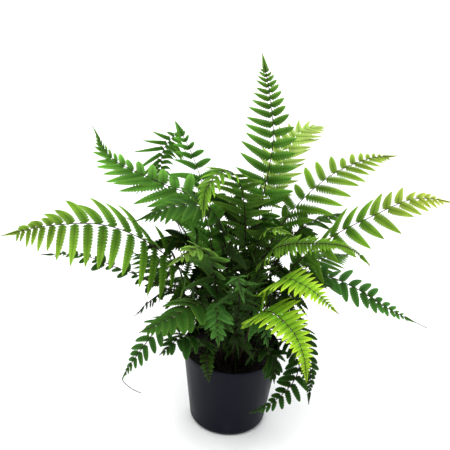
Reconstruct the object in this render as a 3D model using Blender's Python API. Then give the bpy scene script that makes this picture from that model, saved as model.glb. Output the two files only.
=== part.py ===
"""A wood fern in a round plastic growing pot, in metres, +Z up.

The origin is the middle of the pot's flat base, and the front of the plant is -Y. Pieces: the pot, its
filling of bark compost, the scaly crown that sits in the compost, and one solid for each frond. A frond is a
thin stalk with leaflets cut to the rib, and its foot stands in a plain hole of the crown.
"""

import math
import random

import bmesh
import bpy
import numpy as np
from mathutils import Vector
from mathutils.bvhtree import BVHTree

# Pot
POT_HEIGHT = 0.135
POT_RIM_RADIUS = 0.075
POT_BASE_RADIUS = 0.0587
POT_WALL = 0.0013
POT_FLOOR = 0.0016
POT_LIP = 0.0005
POT_FOOT_ROUND = 0.010
POT_SIDES = 36
DRAIN_HOLES = 6
DRAIN_RADIUS = 0.004
DRAIN_RING = 0.040
FOOT_STEPS = 3
INNER_FOOT_STEPS = 2

# Filling and crown
CLEARANCE = 0.0003
SOIL_LEVEL = 0.117
SOIL_SWELL = 0.003
SOIL_SIDES = 18
SOIL_RIPPLES = ((5, 90, 0.0009), (11, -140, 0.0005))
CROWN_RADIUS = 0.048
CROWN_SINK = 0.010
CROWN_RISE = 0.009
CROWN_SIDES = 18
CROWN_RINGS = 4
CROWN_KNOBS = ((7, 300, 0.0011), (4, -180, 0.0009))
SKIN = 0.001
SOCKET_FLOOR = 0.1110
SOCKET_GAP = 0.0005
SOCKET_SIDES = 4

# Fronds
STALK_FOOT = SOCKET_FLOOR + CLEARANCE
STALK_COLLAR = 0.1285
STALK_HALF_WIDTH = 0.0015
TIP_HALF_WIDTH = 0.0006
TIP_HALF_LEAF = 0.0032
TIP_END = 0.0004
STALK_STEPS = 5
RIB_HEIGHT = 1.1
FOOT_PULL = 0.6
LEVEL_PULL = 0.25
CURVE_STEPS = 24

# Leaflets: shares are of the blade's length, the spacing or the leaflet's own length
LOWEST_LENGTH = 0.80
FULL_LENGTH_AT = 0.15
BELLY = 0.9
TAPER = 0.8
TIP_SHARE = 0.03
BLADE_HALF_THICKNESS = 0.0004
SPACING_FIRST = 0.0034
SPACING_SHARE = 0.475
BASE_SHARE = 0.42
SHOULDER = (0.38, 0.33)
LEAN = math.radians(20)
DROOP = 0.16
LENGTH_WAVE = 0.08
DROOP_WAVE = 0.5

# Room kept between fronds
LEAFLET_GAP = 0.0008
STALK_GAP = 0.0006
ROOT_SKIP = 0.002
HULL_STATIONS = 40
SWINGS = (0, 10, -10, 20, -20, 30, -30, 40, -40)
SIZES = (1.0, 0.75, 0.5)
SEED = 7


class Frond:
    """One frond's measures: the route of its stalk, its leaflets' length and its tilt about the stalk."""

    def __init__(self, name, route, reach, bare=0.30, roll=0, green=(0.05, 0.16, 0.03), open=1.0):
        self.name = "frond_" + name
        self.route = route
        self.reach = reach
        self.bare = bare
        self.roll = math.radians(roll)
        self.green = green
        self.open = open


DARK = (0.015, 0.075, 0.012)
MIDDLE = (0.035, 0.17, 0.018)
LIGHT = (0.10, 0.32, 0.03)
LIME = (0.24, 0.50, 0.03)

# Each route is the stalk's foot (x, y) in the crown, then points that the stalk passes, out to its tip.
FRONDS = (
    Frond("tall", [(0.002, 0.004), (0.022, 0.020, 0.245), (0.030, 0.035, 0.365), (0.040, 0.050, 0.460),
                   (0.031, 0.055, 0.530), (0.015, 0.050, 0.600)], 0.060, 0.30, green=MIDDLE),
    Frond("left_long", [(-0.016, -0.006), (-0.060, -0.030, 0.255), (-0.115, -0.050, 0.330),
                        (-0.185, -0.060, 0.370), (-0.265, -0.050, 0.360), (-0.345, -0.030, 0.325)],
          0.070, 0.26, 16, LIGHT, 1.05),
    Frond("right_far", [(0.027, -0.008), (0.072, -0.020, 0.280), (0.130, -0.030, 0.355),
                        (0.185, -0.030, 0.395), (0.245, -0.015, 0.420), (0.305, 0.0, 0.410)],
          0.058, 0.40, -14, LIGHT, 1.25),
    Frond("right_upper", [(0.013, 0.005), (0.030, 0.010, 0.260), (0.065, 0.020, 0.350),
                          (0.120, 0.045, 0.410), (0.180, 0.070, 0.435), (0.230, 0.090, 0.435)],
          0.062, 0.32, -8, LIGHT, 1.1),
    Frond("upper_left", [(-0.010, 0.013), (-0.035, 0.050, 0.255), (-0.065, 0.085, 0.335),
                         (-0.135, 0.105, 0.360), (-0.200, 0.110, 0.390), (-0.230, 0.105, 0.445)],
          0.068, 0.34, 12, MIDDLE, 1.1),
    Frond("right_low", [(0.034, 0.004), (0.070, 0.005, 0.220), (0.120, 0.0, 0.270), (0.170, -0.020, 0.270),
                        (0.230, -0.040, 0.245), (0.285, -0.060, 0.230)], 0.045, 0.38, -14, DARK, 1.15),
    Frond("lime_front", [(0.012, -0.040), (0.025, -0.095, 0.240), (0.045, -0.145, 0.300),
                         (0.075, -0.200, 0.310), (0.092, -0.228, 0.290), (0.100, -0.236, 0.250)],
          0.064, 0.40, 0, LIME),
    Frond("lime_right", [(0.019, -0.032), (0.035, -0.080, 0.265), (0.060, -0.125, 0.340),
                         (0.095, -0.165, 0.355), (0.135, -0.200, 0.340)], 0.045, 0.52, 0, LIME),
    Frond("lime_back", [(0.011, 0.022), (0.040, 0.080, 0.260), (0.060, 0.150, 0.375),
                        (0.085, 0.190, 0.415), (0.130, 0.210, 0.420)], 0.050, 0.45, 0, LIME),
    Frond("upright_left", [(-0.004, 0.024), (-0.030, 0.075, 0.250), (-0.055, 0.120, 0.330),
                           (-0.080, 0.150, 0.385), (-0.110, 0.165, 0.435)], 0.050, 0.40, 0, DARK),
    Frond("right_middle", [(0.017, -0.022), (0.020, -0.060, 0.260), (0.045, -0.100, 0.370),
                           (0.105, -0.140, 0.410), (0.145, -0.165, 0.420), (0.170, -0.180, 0.405)],
          0.040, 0.50, 8, LIGHT),
    Frond("front_left", [(-0.014, -0.038), (-0.030, -0.080, 0.240), (-0.055, -0.115, 0.285),
                         (-0.090, -0.155, 0.285), (-0.130, -0.180, 0.275)], 0.058, 0.40, 4, MIDDLE),
    Frond("crest", [(0.000, -0.008), (0.010, -0.015, 0.295), (0.0, -0.030, 0.420),
                    (-0.025, -0.060, 0.470), (-0.050, -0.090, 0.455), (-0.052, -0.105, 0.415)],
          0.045, 0.50, 0, LIGHT),
    Frond("dark_front", [(0.032, -0.026), (0.060, -0.060, 0.225), (0.095, -0.100, 0.240),
                         (0.112, -0.125, 0.200), (0.116, -0.135, 0.135)], 0.030, 0.40, 0, DARK, 1.2),
    Frond("rim_curl", [(0.040, -0.016), (0.068, -0.055, 0.190), (0.097, -0.080, 0.185),
                       (0.096, -0.100, 0.155), (0.068, -0.112, 0.120), (0.030, -0.116, 0.095)],
          0.024, 0.35, 0, DARK, 1.3),
    Frond("left_droop", [(-0.033, -0.022), (-0.065, -0.060, 0.215), (-0.100, -0.095, 0.235),
                         (-0.130, -0.120, 0.205), (-0.155, -0.130, 0.160)], 0.028, 0.38, 0, DARK, 1.3),
    Frond("left_thin", [(-0.030, 0.007), (-0.065, 0.025, 0.185), (-0.115, 0.040, 0.210),
                        (-0.185, 0.060, 0.225), (-0.245, 0.075, 0.235), (-0.310, 0.085, 0.225)],
          0.028, 0.30, 10, DARK, 1.5),
    Frond("left_low", [(-0.033, 0.020), (-0.065, 0.045, 0.180), (-0.100, 0.055, 0.195),
                       (-0.130, 0.060, 0.170), (-0.158, 0.060, 0.135)], 0.028, 0.38, 0, DARK, 1.2),
    Frond("fine_back", [(-0.018, 0.028), (-0.075, 0.110, 0.230), (-0.120, 0.165, 0.305),
                        (-0.130, 0.195, 0.360), (-0.105, 0.205, 0.400)], 0.050, 0.45, 0, LIGHT),
    Frond("centre_left", [(-0.010, -0.020), (-0.015, -0.035, 0.305), (-0.040, -0.045, 0.395),
                          (-0.090, -0.060, 0.410), (-0.150, -0.070, 0.385)], 0.045, 0.45, 10, MIDDLE),
    Frond("forward_left", [(-0.011, -0.028), (-0.025, -0.075, 0.265), (-0.040, -0.125, 0.370),
                           (-0.060, -0.165, 0.405), (-0.095, -0.200, 0.395)], 0.048, 0.45, 0, MIDDLE),
    Frond("forward_centre", [(0.003, -0.044), (0.004, -0.090, 0.240), (0.004, -0.140, 0.340),
                             (0.0, -0.175, 0.370), (0.010, -0.205, 0.350)], 0.042, 0.42, 0, MIDDLE),
    Frond("centre_right", [(0.010, -0.010), (0.018, -0.030, 0.285), (0.036, -0.055, 0.375),
                           (0.075, -0.085, 0.390)], 0.038, 0.45, 0, LIGHT),
    Frond("rim_small", [(-0.024, -0.040), (-0.030, -0.068, 0.175), (-0.036, -0.090, 0.170),
                        (-0.031, -0.100, 0.135)], 0.012, 0.40, 0, MIDDLE, 1.2),
    Frond("rim_right", [(0.028, -0.033), (0.045, -0.060, 0.175), (0.060, -0.076, 0.173),
                        (0.066, -0.092, 0.135)], 0.020, 0.35, 0, DARK, 1.1),
    Frond("rim_left", [(-0.026, -0.030), (-0.055, -0.070, 0.195), (-0.080, -0.100, 0.210),
                       (-0.105, -0.120, 0.195)], 0.030, 0.36, 0, DARK),
    Frond("right_behind", [(0.022, 0.014), (0.055, 0.060, 0.240), (0.100, 0.095, 0.300),
                           (0.165, 0.120, 0.315)], 0.045, 0.40, -6, MIDDLE),
    Frond("front_fill_left", [(-0.003, -0.034), (-0.010, -0.062, 0.220), (-0.025, -0.100, 0.285),
                              (-0.025, -0.135, 0.275), (-0.020, -0.150, 0.235)], 0.036, 0.36, 0, DARK),
    Frond("front_fill_right", [(0.007, -0.027), (0.015, -0.060, 0.225), (0.028, -0.095, 0.275),
                               (0.042, -0.120, 0.265), (0.050, -0.130, 0.225)], 0.036, 0.36, 0, DARK),
    Frond("centre_back", [(0.003, 0.013), (0.0, 0.045, 0.225), (0.002, 0.075, 0.305), (-0.015, 0.100, 0.345)],
          0.044, 0.30, 0, DARK),
    Frond("centre_dark", [(-0.019, 0.005), (-0.040, 0.003, 0.235), (-0.062, -0.008, 0.310),
                          (-0.105, -0.020, 0.345)], 0.042, 0.30, 0, DARK),
    Frond("right_dark", [(0.022, -0.001), (0.050, -0.030, 0.235), (0.090, -0.060, 0.300), (0.135, -0.080, 0.305)],
          0.038, 0.32, 0, DARK),
    Frond("back_right", [(0.030, 0.024), (0.080, 0.080, 0.180), (0.125, 0.130, 0.215),
                         (0.190, 0.180, 0.205)], 0.045, 0.30, 0, MIDDLE),
    Frond("back_middle_right", [(0.014, 0.037), (0.025, 0.100, 0.205), (0.042, 0.160, 0.245),
                                (0.075, 0.230, 0.240)], 0.048, 0.30, 0, MIDDLE),
    Frond("back_middle_left", [(-0.008, 0.039), (-0.030, 0.100, 0.190), (-0.055, 0.170, 0.220),
                               (-0.085, 0.250, 0.205)], 0.048, 0.30, 0, MIDDLE),
    Frond("back_left", [(-0.027, 0.033), (-0.080, 0.090, 0.160), (-0.125, 0.140, 0.185),
                        (-0.175, 0.190, 0.175)], 0.045, 0.30, 0, DARK),
)


def clear_scene():
    for thing in list(bpy.data.objects):
        bpy.data.objects.remove(thing, do_unlink=True)


def material(name, colour, roughness):
    made = bpy.data.materials.new(name)
    made.use_nodes = True
    shader = made.node_tree.nodes["Principled BSDF"]
    shader.inputs["Base Color"].default_value = (*colour, 1.0)
    shader.inputs["Roughness"].default_value = roughness
    shader.inputs["Metallic"].default_value = 0.0
    return made


def add_object(name, points, faces, finish=None, smooth_angle=None):
    """A mesh object whose faces are turned to face out of the closed body."""
    mesh = bpy.data.meshes.new(name)
    mesh.from_pydata([tuple(point) for point in points], [], faces)
    work = bmesh.new()
    work.from_mesh(mesh)
    bmesh.ops.recalc_face_normals(work, faces=work.faces)
    bmesh.ops.triangulate(work, faces=work.faces)
    work.to_mesh(mesh)
    work.free()
    if finish:
        mesh.materials.append(finish)
    if smooth_angle is not None:
        mesh.shade_smooth()
        mesh.set_sharp_from_angle(angle=math.radians(smooth_angle))
    made = bpy.data.objects.new(name, mesh)
    bpy.context.scene.collection.objects.link(made)
    return made


def turned(profile, sides, lift=None):
    """Points and faces of a profile of (radius, height) turned about Z, with its ends on the axis.

    lift(radius, angle, height) may move a point up or down, to make a surface uneven.
    """
    points = []
    rings = []
    for radius, height in profile:
        count = 1 if radius == 0 else sides
        ring = []
        for step in range(count):
            angle = 2 * math.pi * step / sides
            rise = lift(radius, angle, height) if lift else 0.0
            ring.append(len(points))
            points.append((radius * math.cos(angle), radius * math.sin(angle), height + rise))
        rings.append(ring)
    faces = []
    for low, high in zip(rings, rings[1:]):
        for step in range(sides):
            after = (step + 1) % sides
            if len(low) == 1:
                faces.append((low[0], high[step], high[after]))
            elif len(high) == 1:
                faces.append((low[step], low[after], high[0]))
            else:
                faces.append((low[step], low[after], high[after], high[step]))
    return points, faces


def cut(target, cutters):
    """Takes the cutters out of the target and removes them from the scene."""
    for cutter in cutters:
        cutter.hide_render = True
        cutter.display_type = "WIRE"
    collection = bpy.data.collections.new(target.name + "_cutters")
    for cutter in cutters:
        collection.objects.link(cutter)
    boolean = target.modifiers.new("cut", "BOOLEAN")
    boolean.operation = "DIFFERENCE"
    boolean.operand_type = "COLLECTION"
    boolean.collection = collection
    graph = bpy.context.evaluated_depsgraph_get()
    result = bpy.data.meshes.new_from_object(target.evaluated_get(graph))
    target.modifiers.clear()
    target.data = result
    for cutter in cutters:
        bpy.data.objects.remove(cutter, do_unlink=True)
    bpy.data.collections.remove(collection)


def prism(name, x, y, bottom, top, radius, sides):
    """An upright prism, used as a cutter."""
    points = []
    for height in (bottom, top):
        for step in range(sides):
            angle = 2 * math.pi * (step + 0.5) / sides
            points.append((x + radius * math.cos(angle), y + radius * math.sin(angle), height))
    faces = [tuple(range(sides)), tuple(range(sides, 2 * sides))]
    for step in range(sides):
        after = (step + 1) % sides
        faces.append((step, after, sides + after, sides + step))
    return add_object(name, points, faces)


def wall_radius(height):
    """The pot's outer radius at a height above its rounded foot."""
    return POT_BASE_RADIUS + (POT_RIM_RADIUS - POT_BASE_RADIUS) * height / POT_HEIGHT


def foot_arc(radius, corner, bottom, steps):
    """The rounded corner between a floor and a wall, as (radius, height) points."""
    arc = []
    for step in range(steps + 1):
        angle = 0.5 * math.pi * step / steps
        arc.append((radius - corner + corner * math.sin(angle), bottom + corner * (1 - math.cos(angle))))
    return arc


def make_pot():
    """A thin tapering shell with a rounded foot, a plain rim and drain holes in its floor."""
    outer = foot_arc(wall_radius(POT_FOOT_ROUND), POT_FOOT_ROUND, 0.0, FOOT_STEPS)
    corner = POT_FOOT_ROUND - POT_FLOOR
    inner = foot_arc(wall_radius(POT_FOOT_ROUND) - POT_WALL, corner, POT_FLOOR, INNER_FOOT_STEPS)
    lip = [
        (wall_radius(POT_HEIGHT - POT_LIP), POT_HEIGHT - POT_LIP),
        (wall_radius(POT_HEIGHT) - POT_LIP, POT_HEIGHT),
        (wall_radius(POT_HEIGHT) - POT_WALL, POT_HEIGHT),
    ]
    profile = [(0, 0.0), *outer, *lip, *reversed(inner), (0, POT_FLOOR)]
    points, faces = turned(profile, POT_SIDES)
    pot = add_object("pot", points, faces, material("pot_plastic", (0.02, 0.022, 0.034), 0.42))
    holes = []
    for step in range(DRAIN_HOLES):
        angle = 2 * math.pi * (step + 0.5) / DRAIN_HOLES
        x = DRAIN_RING * math.cos(angle)
        y = DRAIN_RING * math.sin(angle)
        holes.append(prism(f"drain_{step}", x, y, -POT_FOOT_ROUND, POT_FOOT_ROUND, DRAIN_RADIUS, 8))
    cut(pot, holes)
    pot.data.shade_smooth()
    pot.data.set_sharp_from_angle(angle=math.radians(30))


def uneven(waves):
    """A lift that makes a top uneven: waves of (turns, pitch, height), for points at the soil's level or above."""

    def lift(radius, angle, height):
        if height < SOIL_LEVEL - SKIN:
            return 0.0
        return sum(rise * math.sin(turns * angle + pitch * radius) for turns, pitch, rise in waves)

    return lift


def make_soil():
    """The compost fills the pot, swells a little, and has a round seat for the crown in its top."""
    wall = POT_WALL + CLEARANCE
    floor = POT_FLOOR + CLEARANCE
    corner = POT_FOOT_ROUND - POT_FLOOR
    inner = foot_arc(wall_radius(POT_FOOT_ROUND) - wall, corner, floor, INNER_FOOT_STEPS)
    seat_radius = CROWN_RADIUS + CLEARANCE
    seat_floor = SOIL_LEVEL - CROWN_SINK - CLEARANCE
    edge = wall_radius(SOIL_LEVEL) - wall
    profile = [
        (0, floor),
        *inner,
        (edge, SOIL_LEVEL - 2 * SKIN),
        ((2 * edge + seat_radius) / 3, SOIL_LEVEL + 0.3 * SOIL_SWELL),
        ((edge + 2 * seat_radius) / 3, SOIL_LEVEL + 0.8 * SOIL_SWELL),
        (seat_radius, SOIL_LEVEL),
        (seat_radius, seat_floor),
        (0, seat_floor),
    ]
    points, faces = turned(profile, SOIL_SIDES, uneven(SOIL_RIPPLES))
    add_object("soil", points, faces, material("bark_compost", (0.022, 0.014, 0.009), 0.95), 40)


def make_crown():
    """A low dome of old stalk bases and scales, with a plain socket for the foot of each frond."""
    bottom = SOIL_LEVEL - CROWN_SINK
    dome = []
    for step in range(CROWN_RINGS):
        angle = 0.5 * math.pi * step / CROWN_RINGS
        dome.append((CROWN_RADIUS * math.cos(angle) ** 0.8, SOIL_LEVEL + CROWN_RISE * math.sin(angle)))
    profile = [(0, bottom), (CROWN_RADIUS, bottom), *dome, (0, SOIL_LEVEL + CROWN_RISE)]
    points, faces = turned(profile, CROWN_SIDES, uneven(CROWN_KNOBS))
    crown = add_object("crown", points, faces, material("crown_scales", (0.055, 0.028, 0.014), 0.9))
    sockets = []
    corner = (STALK_HALF_WIDTH * RIB_HEIGHT + SOCKET_GAP) / math.cos(math.pi / SOCKET_SIDES)
    for frond in FRONDS:
        x, y = frond.route[0]
        sockets.append(prism("socket", x, y, SOCKET_FLOOR, SOIL_LEVEL + 3 * CROWN_RISE, corner, SOCKET_SIDES))
    cut(crown, sockets)


def smooth_route(points):
    """A curve through the points: Catmull-Rom spans, the first leaving its point straight up."""
    knots = [np.array(point, float) for point in points]
    before = knots[0] - np.array((0.0, 0.0, FOOT_PULL * np.linalg.norm(knots[1] - knots[0])))
    after = 2 * knots[-1] - knots[-2]
    knots = [before, *knots, after]
    curve = []
    for a, b, c, d in zip(knots, knots[1:], knots[2:], knots[3:]):
        for step in range(CURVE_STEPS):
            s = step / CURVE_STEPS
            curve.append(0.5 * (2 * b + (c - a) * s + (2 * a - 5 * b + 4 * c - d) * s**2
                                + (3 * b - a - 3 * c + d) * s**3))
    curve.append(knots[-2])
    return np.array(curve)


def frames_along(curve, roll):
    """Tangent, side and upper-face directions along a curve, with the side kept as level as the curve allows."""
    tangents = np.gradient(curve, axis=0)
    tangents /= np.linalg.norm(tangents, axis=1)[:, None]
    lean = curve[len(curve) // 2] - curve[0]
    side = np.array((lean[1], -lean[0], 0.0))
    side /= np.linalg.norm(side)
    sides = []
    for tangent in tangents:
        level = np.array((tangent[1], -tangent[0], 0.0))
        if level @ side < 0:
            level = -level
        side = side + LEVEL_PULL * np.linalg.norm(level) * level
        side = side - (side @ tangent) * tangent
        side /= np.linalg.norm(side)
        sides.append(side)
    sides = np.array(sides)
    uppers = np.cross(sides, tangents)
    rolled = sides * math.cos(roll) + uppers * math.sin(roll)
    return tangents, rolled, np.cross(rolled, tangents)


def profile_share(share):
    """A leaflet's length as a share of the longest, from the lowest leaflet (0) to the tip (1)."""
    rising = LOWEST_LENGTH + (1 - LOWEST_LENGTH) * min(share / FULL_LENGTH_AT, 1.0)
    return rising * (1 - share) ** TAPER * (1 + BELLY * share)


class Spine:
    """The stalk of a frond: a smooth curve that can be read at any length along it."""

    def __init__(self, frond):
        foot = frond.route[0]
        points = [(*foot, STALK_COLLAR), *frond.route[1:]]
        self.curve = smooth_route(points)
        self.tangents, self.sides, self.uppers = frames_along(self.curve, frond.roll)
        steps = np.linalg.norm(np.diff(self.curve, axis=0), axis=1)
        self.lengths = np.concatenate([[0.0], np.cumsum(steps)])
        self.total = self.lengths[-1]
        self.foot = np.array((*foot, STALK_FOOT))

    def read(self, rows, length):
        return np.array([np.interp(length, self.lengths, rows[:, k]) for k in range(3)])

    def at(self, length):
        """Place, tangent, side and upper direction at a length along the curve."""
        frame = [self.read(self.curve, length)]
        for rows in (self.tangents, self.sides, self.uppers):
            direction = self.read(rows, length)
            frame.append(direction / np.linalg.norm(direction))
        return frame

    def half_width(self, length):
        share = max(length, 0.0) / self.total
        return STALK_HALF_WIDTH + (TIP_HALF_WIDTH - STALK_HALF_WIDTH) * share


def leaflet_places(frond, spine):
    """The leaflets' places along the stalk, from the lowest up, each as (start, end) of its base and its spacing."""
    start = frond.bare * spine.total
    blade = spine.total - start
    places = []
    reached = start
    while True:
        share = (reached - start) / blade
        spacing = frond.open * (SPACING_FIRST + SPACING_SHARE * frond.reach * profile_share(share))
        if share > 1 - TIP_SHARE - spacing / blade:
            return places
        middle = reached + 0.5 * spacing
        base = 0.5 * BASE_SHARE * spacing
        places.append((middle - base, middle + base, spacing))
        reached += spacing


def leaflet(frond, spine, place, hand, swing, size, wave):
    """A leaflet's three free corners and the direction that its upper face looks.

    It leans towards the tip, droops, and is swung about the rib. hand is 1 or -1 for the two sides of the
    stalk, and wave is a small draw that varies its length and droop.
    """
    start, end, spacing = place
    middle = 0.5 * (start + end)
    centre, tangent, side, upper = spine.at(middle)
    share = (middle - frond.bare * spine.total) / (spine.total * (1 - frond.bare))
    long = frond.reach * profile_share(share) * size * (1 + LENGTH_WAVE * wave)
    wide = spacing / math.sqrt(frond.open)
    out = hand * side * math.cos(swing) + upper * math.sin(swing)
    face = upper * math.cos(swing) - hand * side * math.sin(swing)
    droop = DROOP * (1 + DROOP_WAVE * wave)

    def corner(along, across):
        reach = along * long
        forward = reach * math.sin(LEAN) + across * wide
        return centre + out * reach * math.cos(LEAN) + tangent * forward - face * droop * long * along**2

    along, across = SHOULDER
    return [corner(along, across), corner(1.0, 0.0), corner(along, -across)], face


def slab(corners, face, half):
    """A thin closed prism on a polygon, as points and triangles."""
    top = [corner + face * half for corner in corners]
    bottom = [corner - face * half for corner in corners]
    count = len(corners)
    faces = []
    for step in range(1, count - 1):
        faces.append((0, step, step + 1))
        faces.append((count, count + step + 1, count + step))
    for step in range(count):
        after = (step + 1) % count
        faces.append((step, after, count + after))
        faces.append((step, count + after, count + step))
    return top + bottom, faces


def stalk_hull(spine):
    """A square tube round the stalk, used to keep the leaflets of other fronds off it."""
    points = []
    faces = []
    stations = np.linspace(0.0, spine.total, HULL_STATIONS)
    for row, length in enumerate(stations):
        place, _, side, upper = spine.at(length)
        half = spine.half_width(length) + STALK_GAP
        for across, rise in ((1, 1), (-1, 1), (-1, -1), (1, -1)):
            points.append(place + side * half * across + upper * half * rise)
        if row:
            for step in range(4):
                after = (step + 1) % 4
                first = 4 * (row - 1)
                faces.append((first + step, first + after, first + 4 + after, first + 4 + step))
    return points, faces


class Obstacle:
    """What a settled solid takes up, as a search tree and its box."""

    def __init__(self):
        self.points = []
        self.faces = []

    def add(self, points, faces):
        first = len(self.points)
        self.points.extend(points)
        self.faces.extend(tuple(first + corner for corner in face) for face in faces)

    def close(self):
        self.tree = BVHTree.FromPolygons([Vector(point) for point in self.points], self.faces)
        self.low = np.min(self.points, axis=0)
        self.high = np.max(self.points, axis=0)

    def meets(self, tree, low, high):
        if (low > self.high).any() or (high < self.low).any():
            return False
        return bool(self.tree.overlap(tree))


def tries():
    """The swings and sizes that a leaflet may take, the most natural first."""
    for size in SIZES:
        for swing in SWINGS:
            yield math.radians(swing), size


def settle(frond, spine, places, others, draw):
    """Finds each leaflet a pose clear of the other solids. Returns the leaflets by (row, hand)."""
    found = {}
    own = {}
    for row, place in enumerate(places):
        for hand in (1, -1):
            wave = draw.uniform(-1, 1)
            root = []
            for length in place[:2]:
                centre, _, side, _ = spine.at(length)
                root.append(centre + hand * side * (spine.half_width(length) + ROOT_SKIP))
            for swing, size in tries():
                corners, face = leaflet(frond, spine, place, hand, swing, size, wave)
                ring = [*root, *corners]
                points, faces = slab(ring, face, BLADE_HALF_THICKNESS + LEAFLET_GAP)
                tree = BVHTree.FromPolygons([Vector(point) for point in points], faces)
                low = np.min(points, axis=0)
                high = np.max(points, axis=0)
                near = [own[key] for key in own if abs(key[0] - row) > 1]
                if not any(other.meets(tree, low, high) for other in (*others, *near)):
                    found[row, hand] = (corners, face)
                    solid = Obstacle()
                    solid.add(*slab(ring, face, BLADE_HALF_THICKNESS))
                    solid.close()
                    own[row, hand] = solid
                    break
    return found, own


def frond_solid(spine, places, leaflets):
    """Points and faces of the whole frond: a four-sided stalk whose leaflets open from its ridges.

    Each station of the stalk has four points: upper ridge, right edge, lower ridge, left edge. Where a
    leaflet grows, its faces replace the stalk's two on that side.
    """
    points = []
    faces = []

    def station(centre, side, upper, half):
        points.extend((centre + upper * half * RIB_HEIGHT, centre + side * half,
                       centre - upper * half * RIB_HEIGHT, centre - side * half))
        return len(points) - 4

    def quad(a, b, c, d):
        faces.append((a, b, c))
        faces.append((a, c, d))

    side = spine.at(0.0)[2]
    level = np.array((side[0], side[1], 0.0)) / math.hypot(side[0], side[1])
    rows = [station(spine.foot, level, np.array((level[1], -level[0], 0.0)), STALK_HALF_WIDTH)]
    lengths = list(np.linspace(0.0, places[0][0], STALK_STEPS + 1)[:-1])
    first_leaflet = len(lengths) + 1
    for start, end, _ in places:
        lengths.extend((start, end))
    lengths.append(spine.total - 0.4 * places[-1][2])
    for length in lengths:
        centre, _, side, upper = spine.at(length)
        rows.append(station(centre, side, upper, spine.half_width(length)))
    centre, _, side, upper = spine.at(spine.total)
    rows.append(station(centre, side, upper, TIP_END))
    broad = rows[-2]
    tip_centre, _, tip_side, _ = spine.at(lengths[-1])
    points[broad + 1] = tip_centre + tip_side * TIP_HALF_LEAF
    points[broad + 3] = tip_centre - tip_side * TIP_HALF_LEAF

    for row, (low, high) in enumerate(zip(rows, rows[1:])):
        number, between = divmod(row - first_leaflet, 2)
        for hand, edge in ((1, 1), (-1, 3)):
            blade = None if between or number < 0 else leaflets.get((number, hand))
            if blade is None:
                quad(low, low + edge, high + edge, high)
                quad(low + edge, low + 2, high + 2, high + edge)
                continue
            corners, face = blade
            front = len(points)
            tip, back = front + 1, front + 2
            for corner in corners:
                points.append(corner + face * BLADE_HALF_THICKNESS)
            for corner in corners:
                points.append(corner - face * BLADE_HALF_THICKNESS)
            for above, root in ((0, 0), (3, 2)):
                quad(low + root, high + root, front + above, back + above)
                faces.append((back + above, front + above, tip + above))
            for root, corner in ((high, front), (low, back)):
                faces.append((root, root + edge, corner))
                faces.append((root + edge, root + 2, corner + 3))
                faces.append((root + edge, corner + 3, corner))
            quad(front, tip, tip + 3, front + 3)
            quad(tip, back, back + 3, tip + 3)
    quad(rows[0], rows[0] + 1, rows[0] + 2, rows[0] + 3)
    quad(rows[-1], rows[-1] + 1, rows[-1] + 2, rows[-1] + 3)
    return points, faces


def holder_obstacle():
    """The pot, the compost and the crown, which leaflets keep clear of."""
    solid = Obstacle()
    for name in ("pot", "soil", "crown"):
        mesh = bpy.data.objects[name].data
        solid.add([np.array(vertex.co) for vertex in mesh.vertices], [tuple(face.vertices) for face in mesh.polygons])
    solid.close()
    return solid


def make_fronds():
    draw = random.Random(SEED)
    spines = {frond.name: Spine(frond) for frond in FRONDS}
    stalks = {}
    for name, spine in spines.items():
        stalk = Obstacle()
        stalk.add(*stalk_hull(spine))
        stalk.close()
        stalks[name] = stalk
    settled = [holder_obstacle()]
    for frond in FRONDS:
        spine = spines[frond.name]
        places = leaflet_places(frond, spine)
        others = settled + [stalk for name, stalk in stalks.items() if name != frond.name]
        leaflets, solids = settle(frond, spine, places, others, draw)
        whole = Obstacle()
        for solid in solids.values():
            whole.add(solid.points, solid.faces)
        whole.close()
        settled.append(whole)
        points, faces = frond_solid(spine, places, leaflets)
        add_object(frond.name, points, faces, material(frond.name + "_green", frond.green, 0.5))


clear_scene()
make_pot()
make_soil()
make_crown()
make_fronds()
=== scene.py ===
"""The look of a potted wood fern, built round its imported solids.

Every frond is grown along the same route as its solid: a dark stalk, and two rows of leaflets whose edges are
cut into lobes near the stalk and into blunt teeth further out. Metres, +Z up, front of the plant at -Y.
"""

import itertools
import math
import random
from dataclasses import dataclass, replace

import bpy
import numpy as np
from mathutils import Matrix, Vector
from mathutils.bvhtree import BVHTree


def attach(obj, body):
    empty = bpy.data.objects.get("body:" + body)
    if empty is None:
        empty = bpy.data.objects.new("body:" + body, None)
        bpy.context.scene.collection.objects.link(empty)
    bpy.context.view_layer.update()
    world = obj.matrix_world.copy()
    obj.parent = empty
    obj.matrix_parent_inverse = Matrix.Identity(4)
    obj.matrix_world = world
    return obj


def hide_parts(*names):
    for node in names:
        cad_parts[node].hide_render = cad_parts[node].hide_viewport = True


# Pot and filling
POT_HEIGHT = 0.135
POT_RIM_RADIUS = 0.075
POT_BASE_RADIUS = 0.0587
POT_WALL = 0.0013
POT_FLOOR = 0.0016
POT_FOOT_ROUND = 0.010
POT_LIP = 0.0004
POT_SIDES = 144
FOOT_STEPS = 10
LIP_STEPS = 8
WALL_LOWEST = 0.03
WALL_HIGHEST = 0.125
WALL_RINGS = 5
DRAIN_HOLES = 6
DRAIN_RADIUS = 0.004
DRAIN_RING = 0.040
DRAIN_SIDES = 24
GAP = 0.0003
SOIL_LEVEL = 0.117
SOIL_CHAMFER = 0.002
SOIL_RINGS = 44
SOIL_SIDES = 120
CRUMBS = 0.00045
CRUMB_WAVES = 24
CRUMB_PITCH = 900
SOIL_SWELL = 0.0012
CHIPS = 260
CHIP_AREA = (0.30, 0.97)
CHIP_SIZES = (0.002, 0.0055)
CHIP_LIFT = 0.0004
CROWN_RADIUS = 0.048
CROWN_RISE = 0.009
CROWN_SINK = 0.010
CROWN_RINGS = 14
CROWN_SIDES = 72
KNOBS = 0.0010

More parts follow.
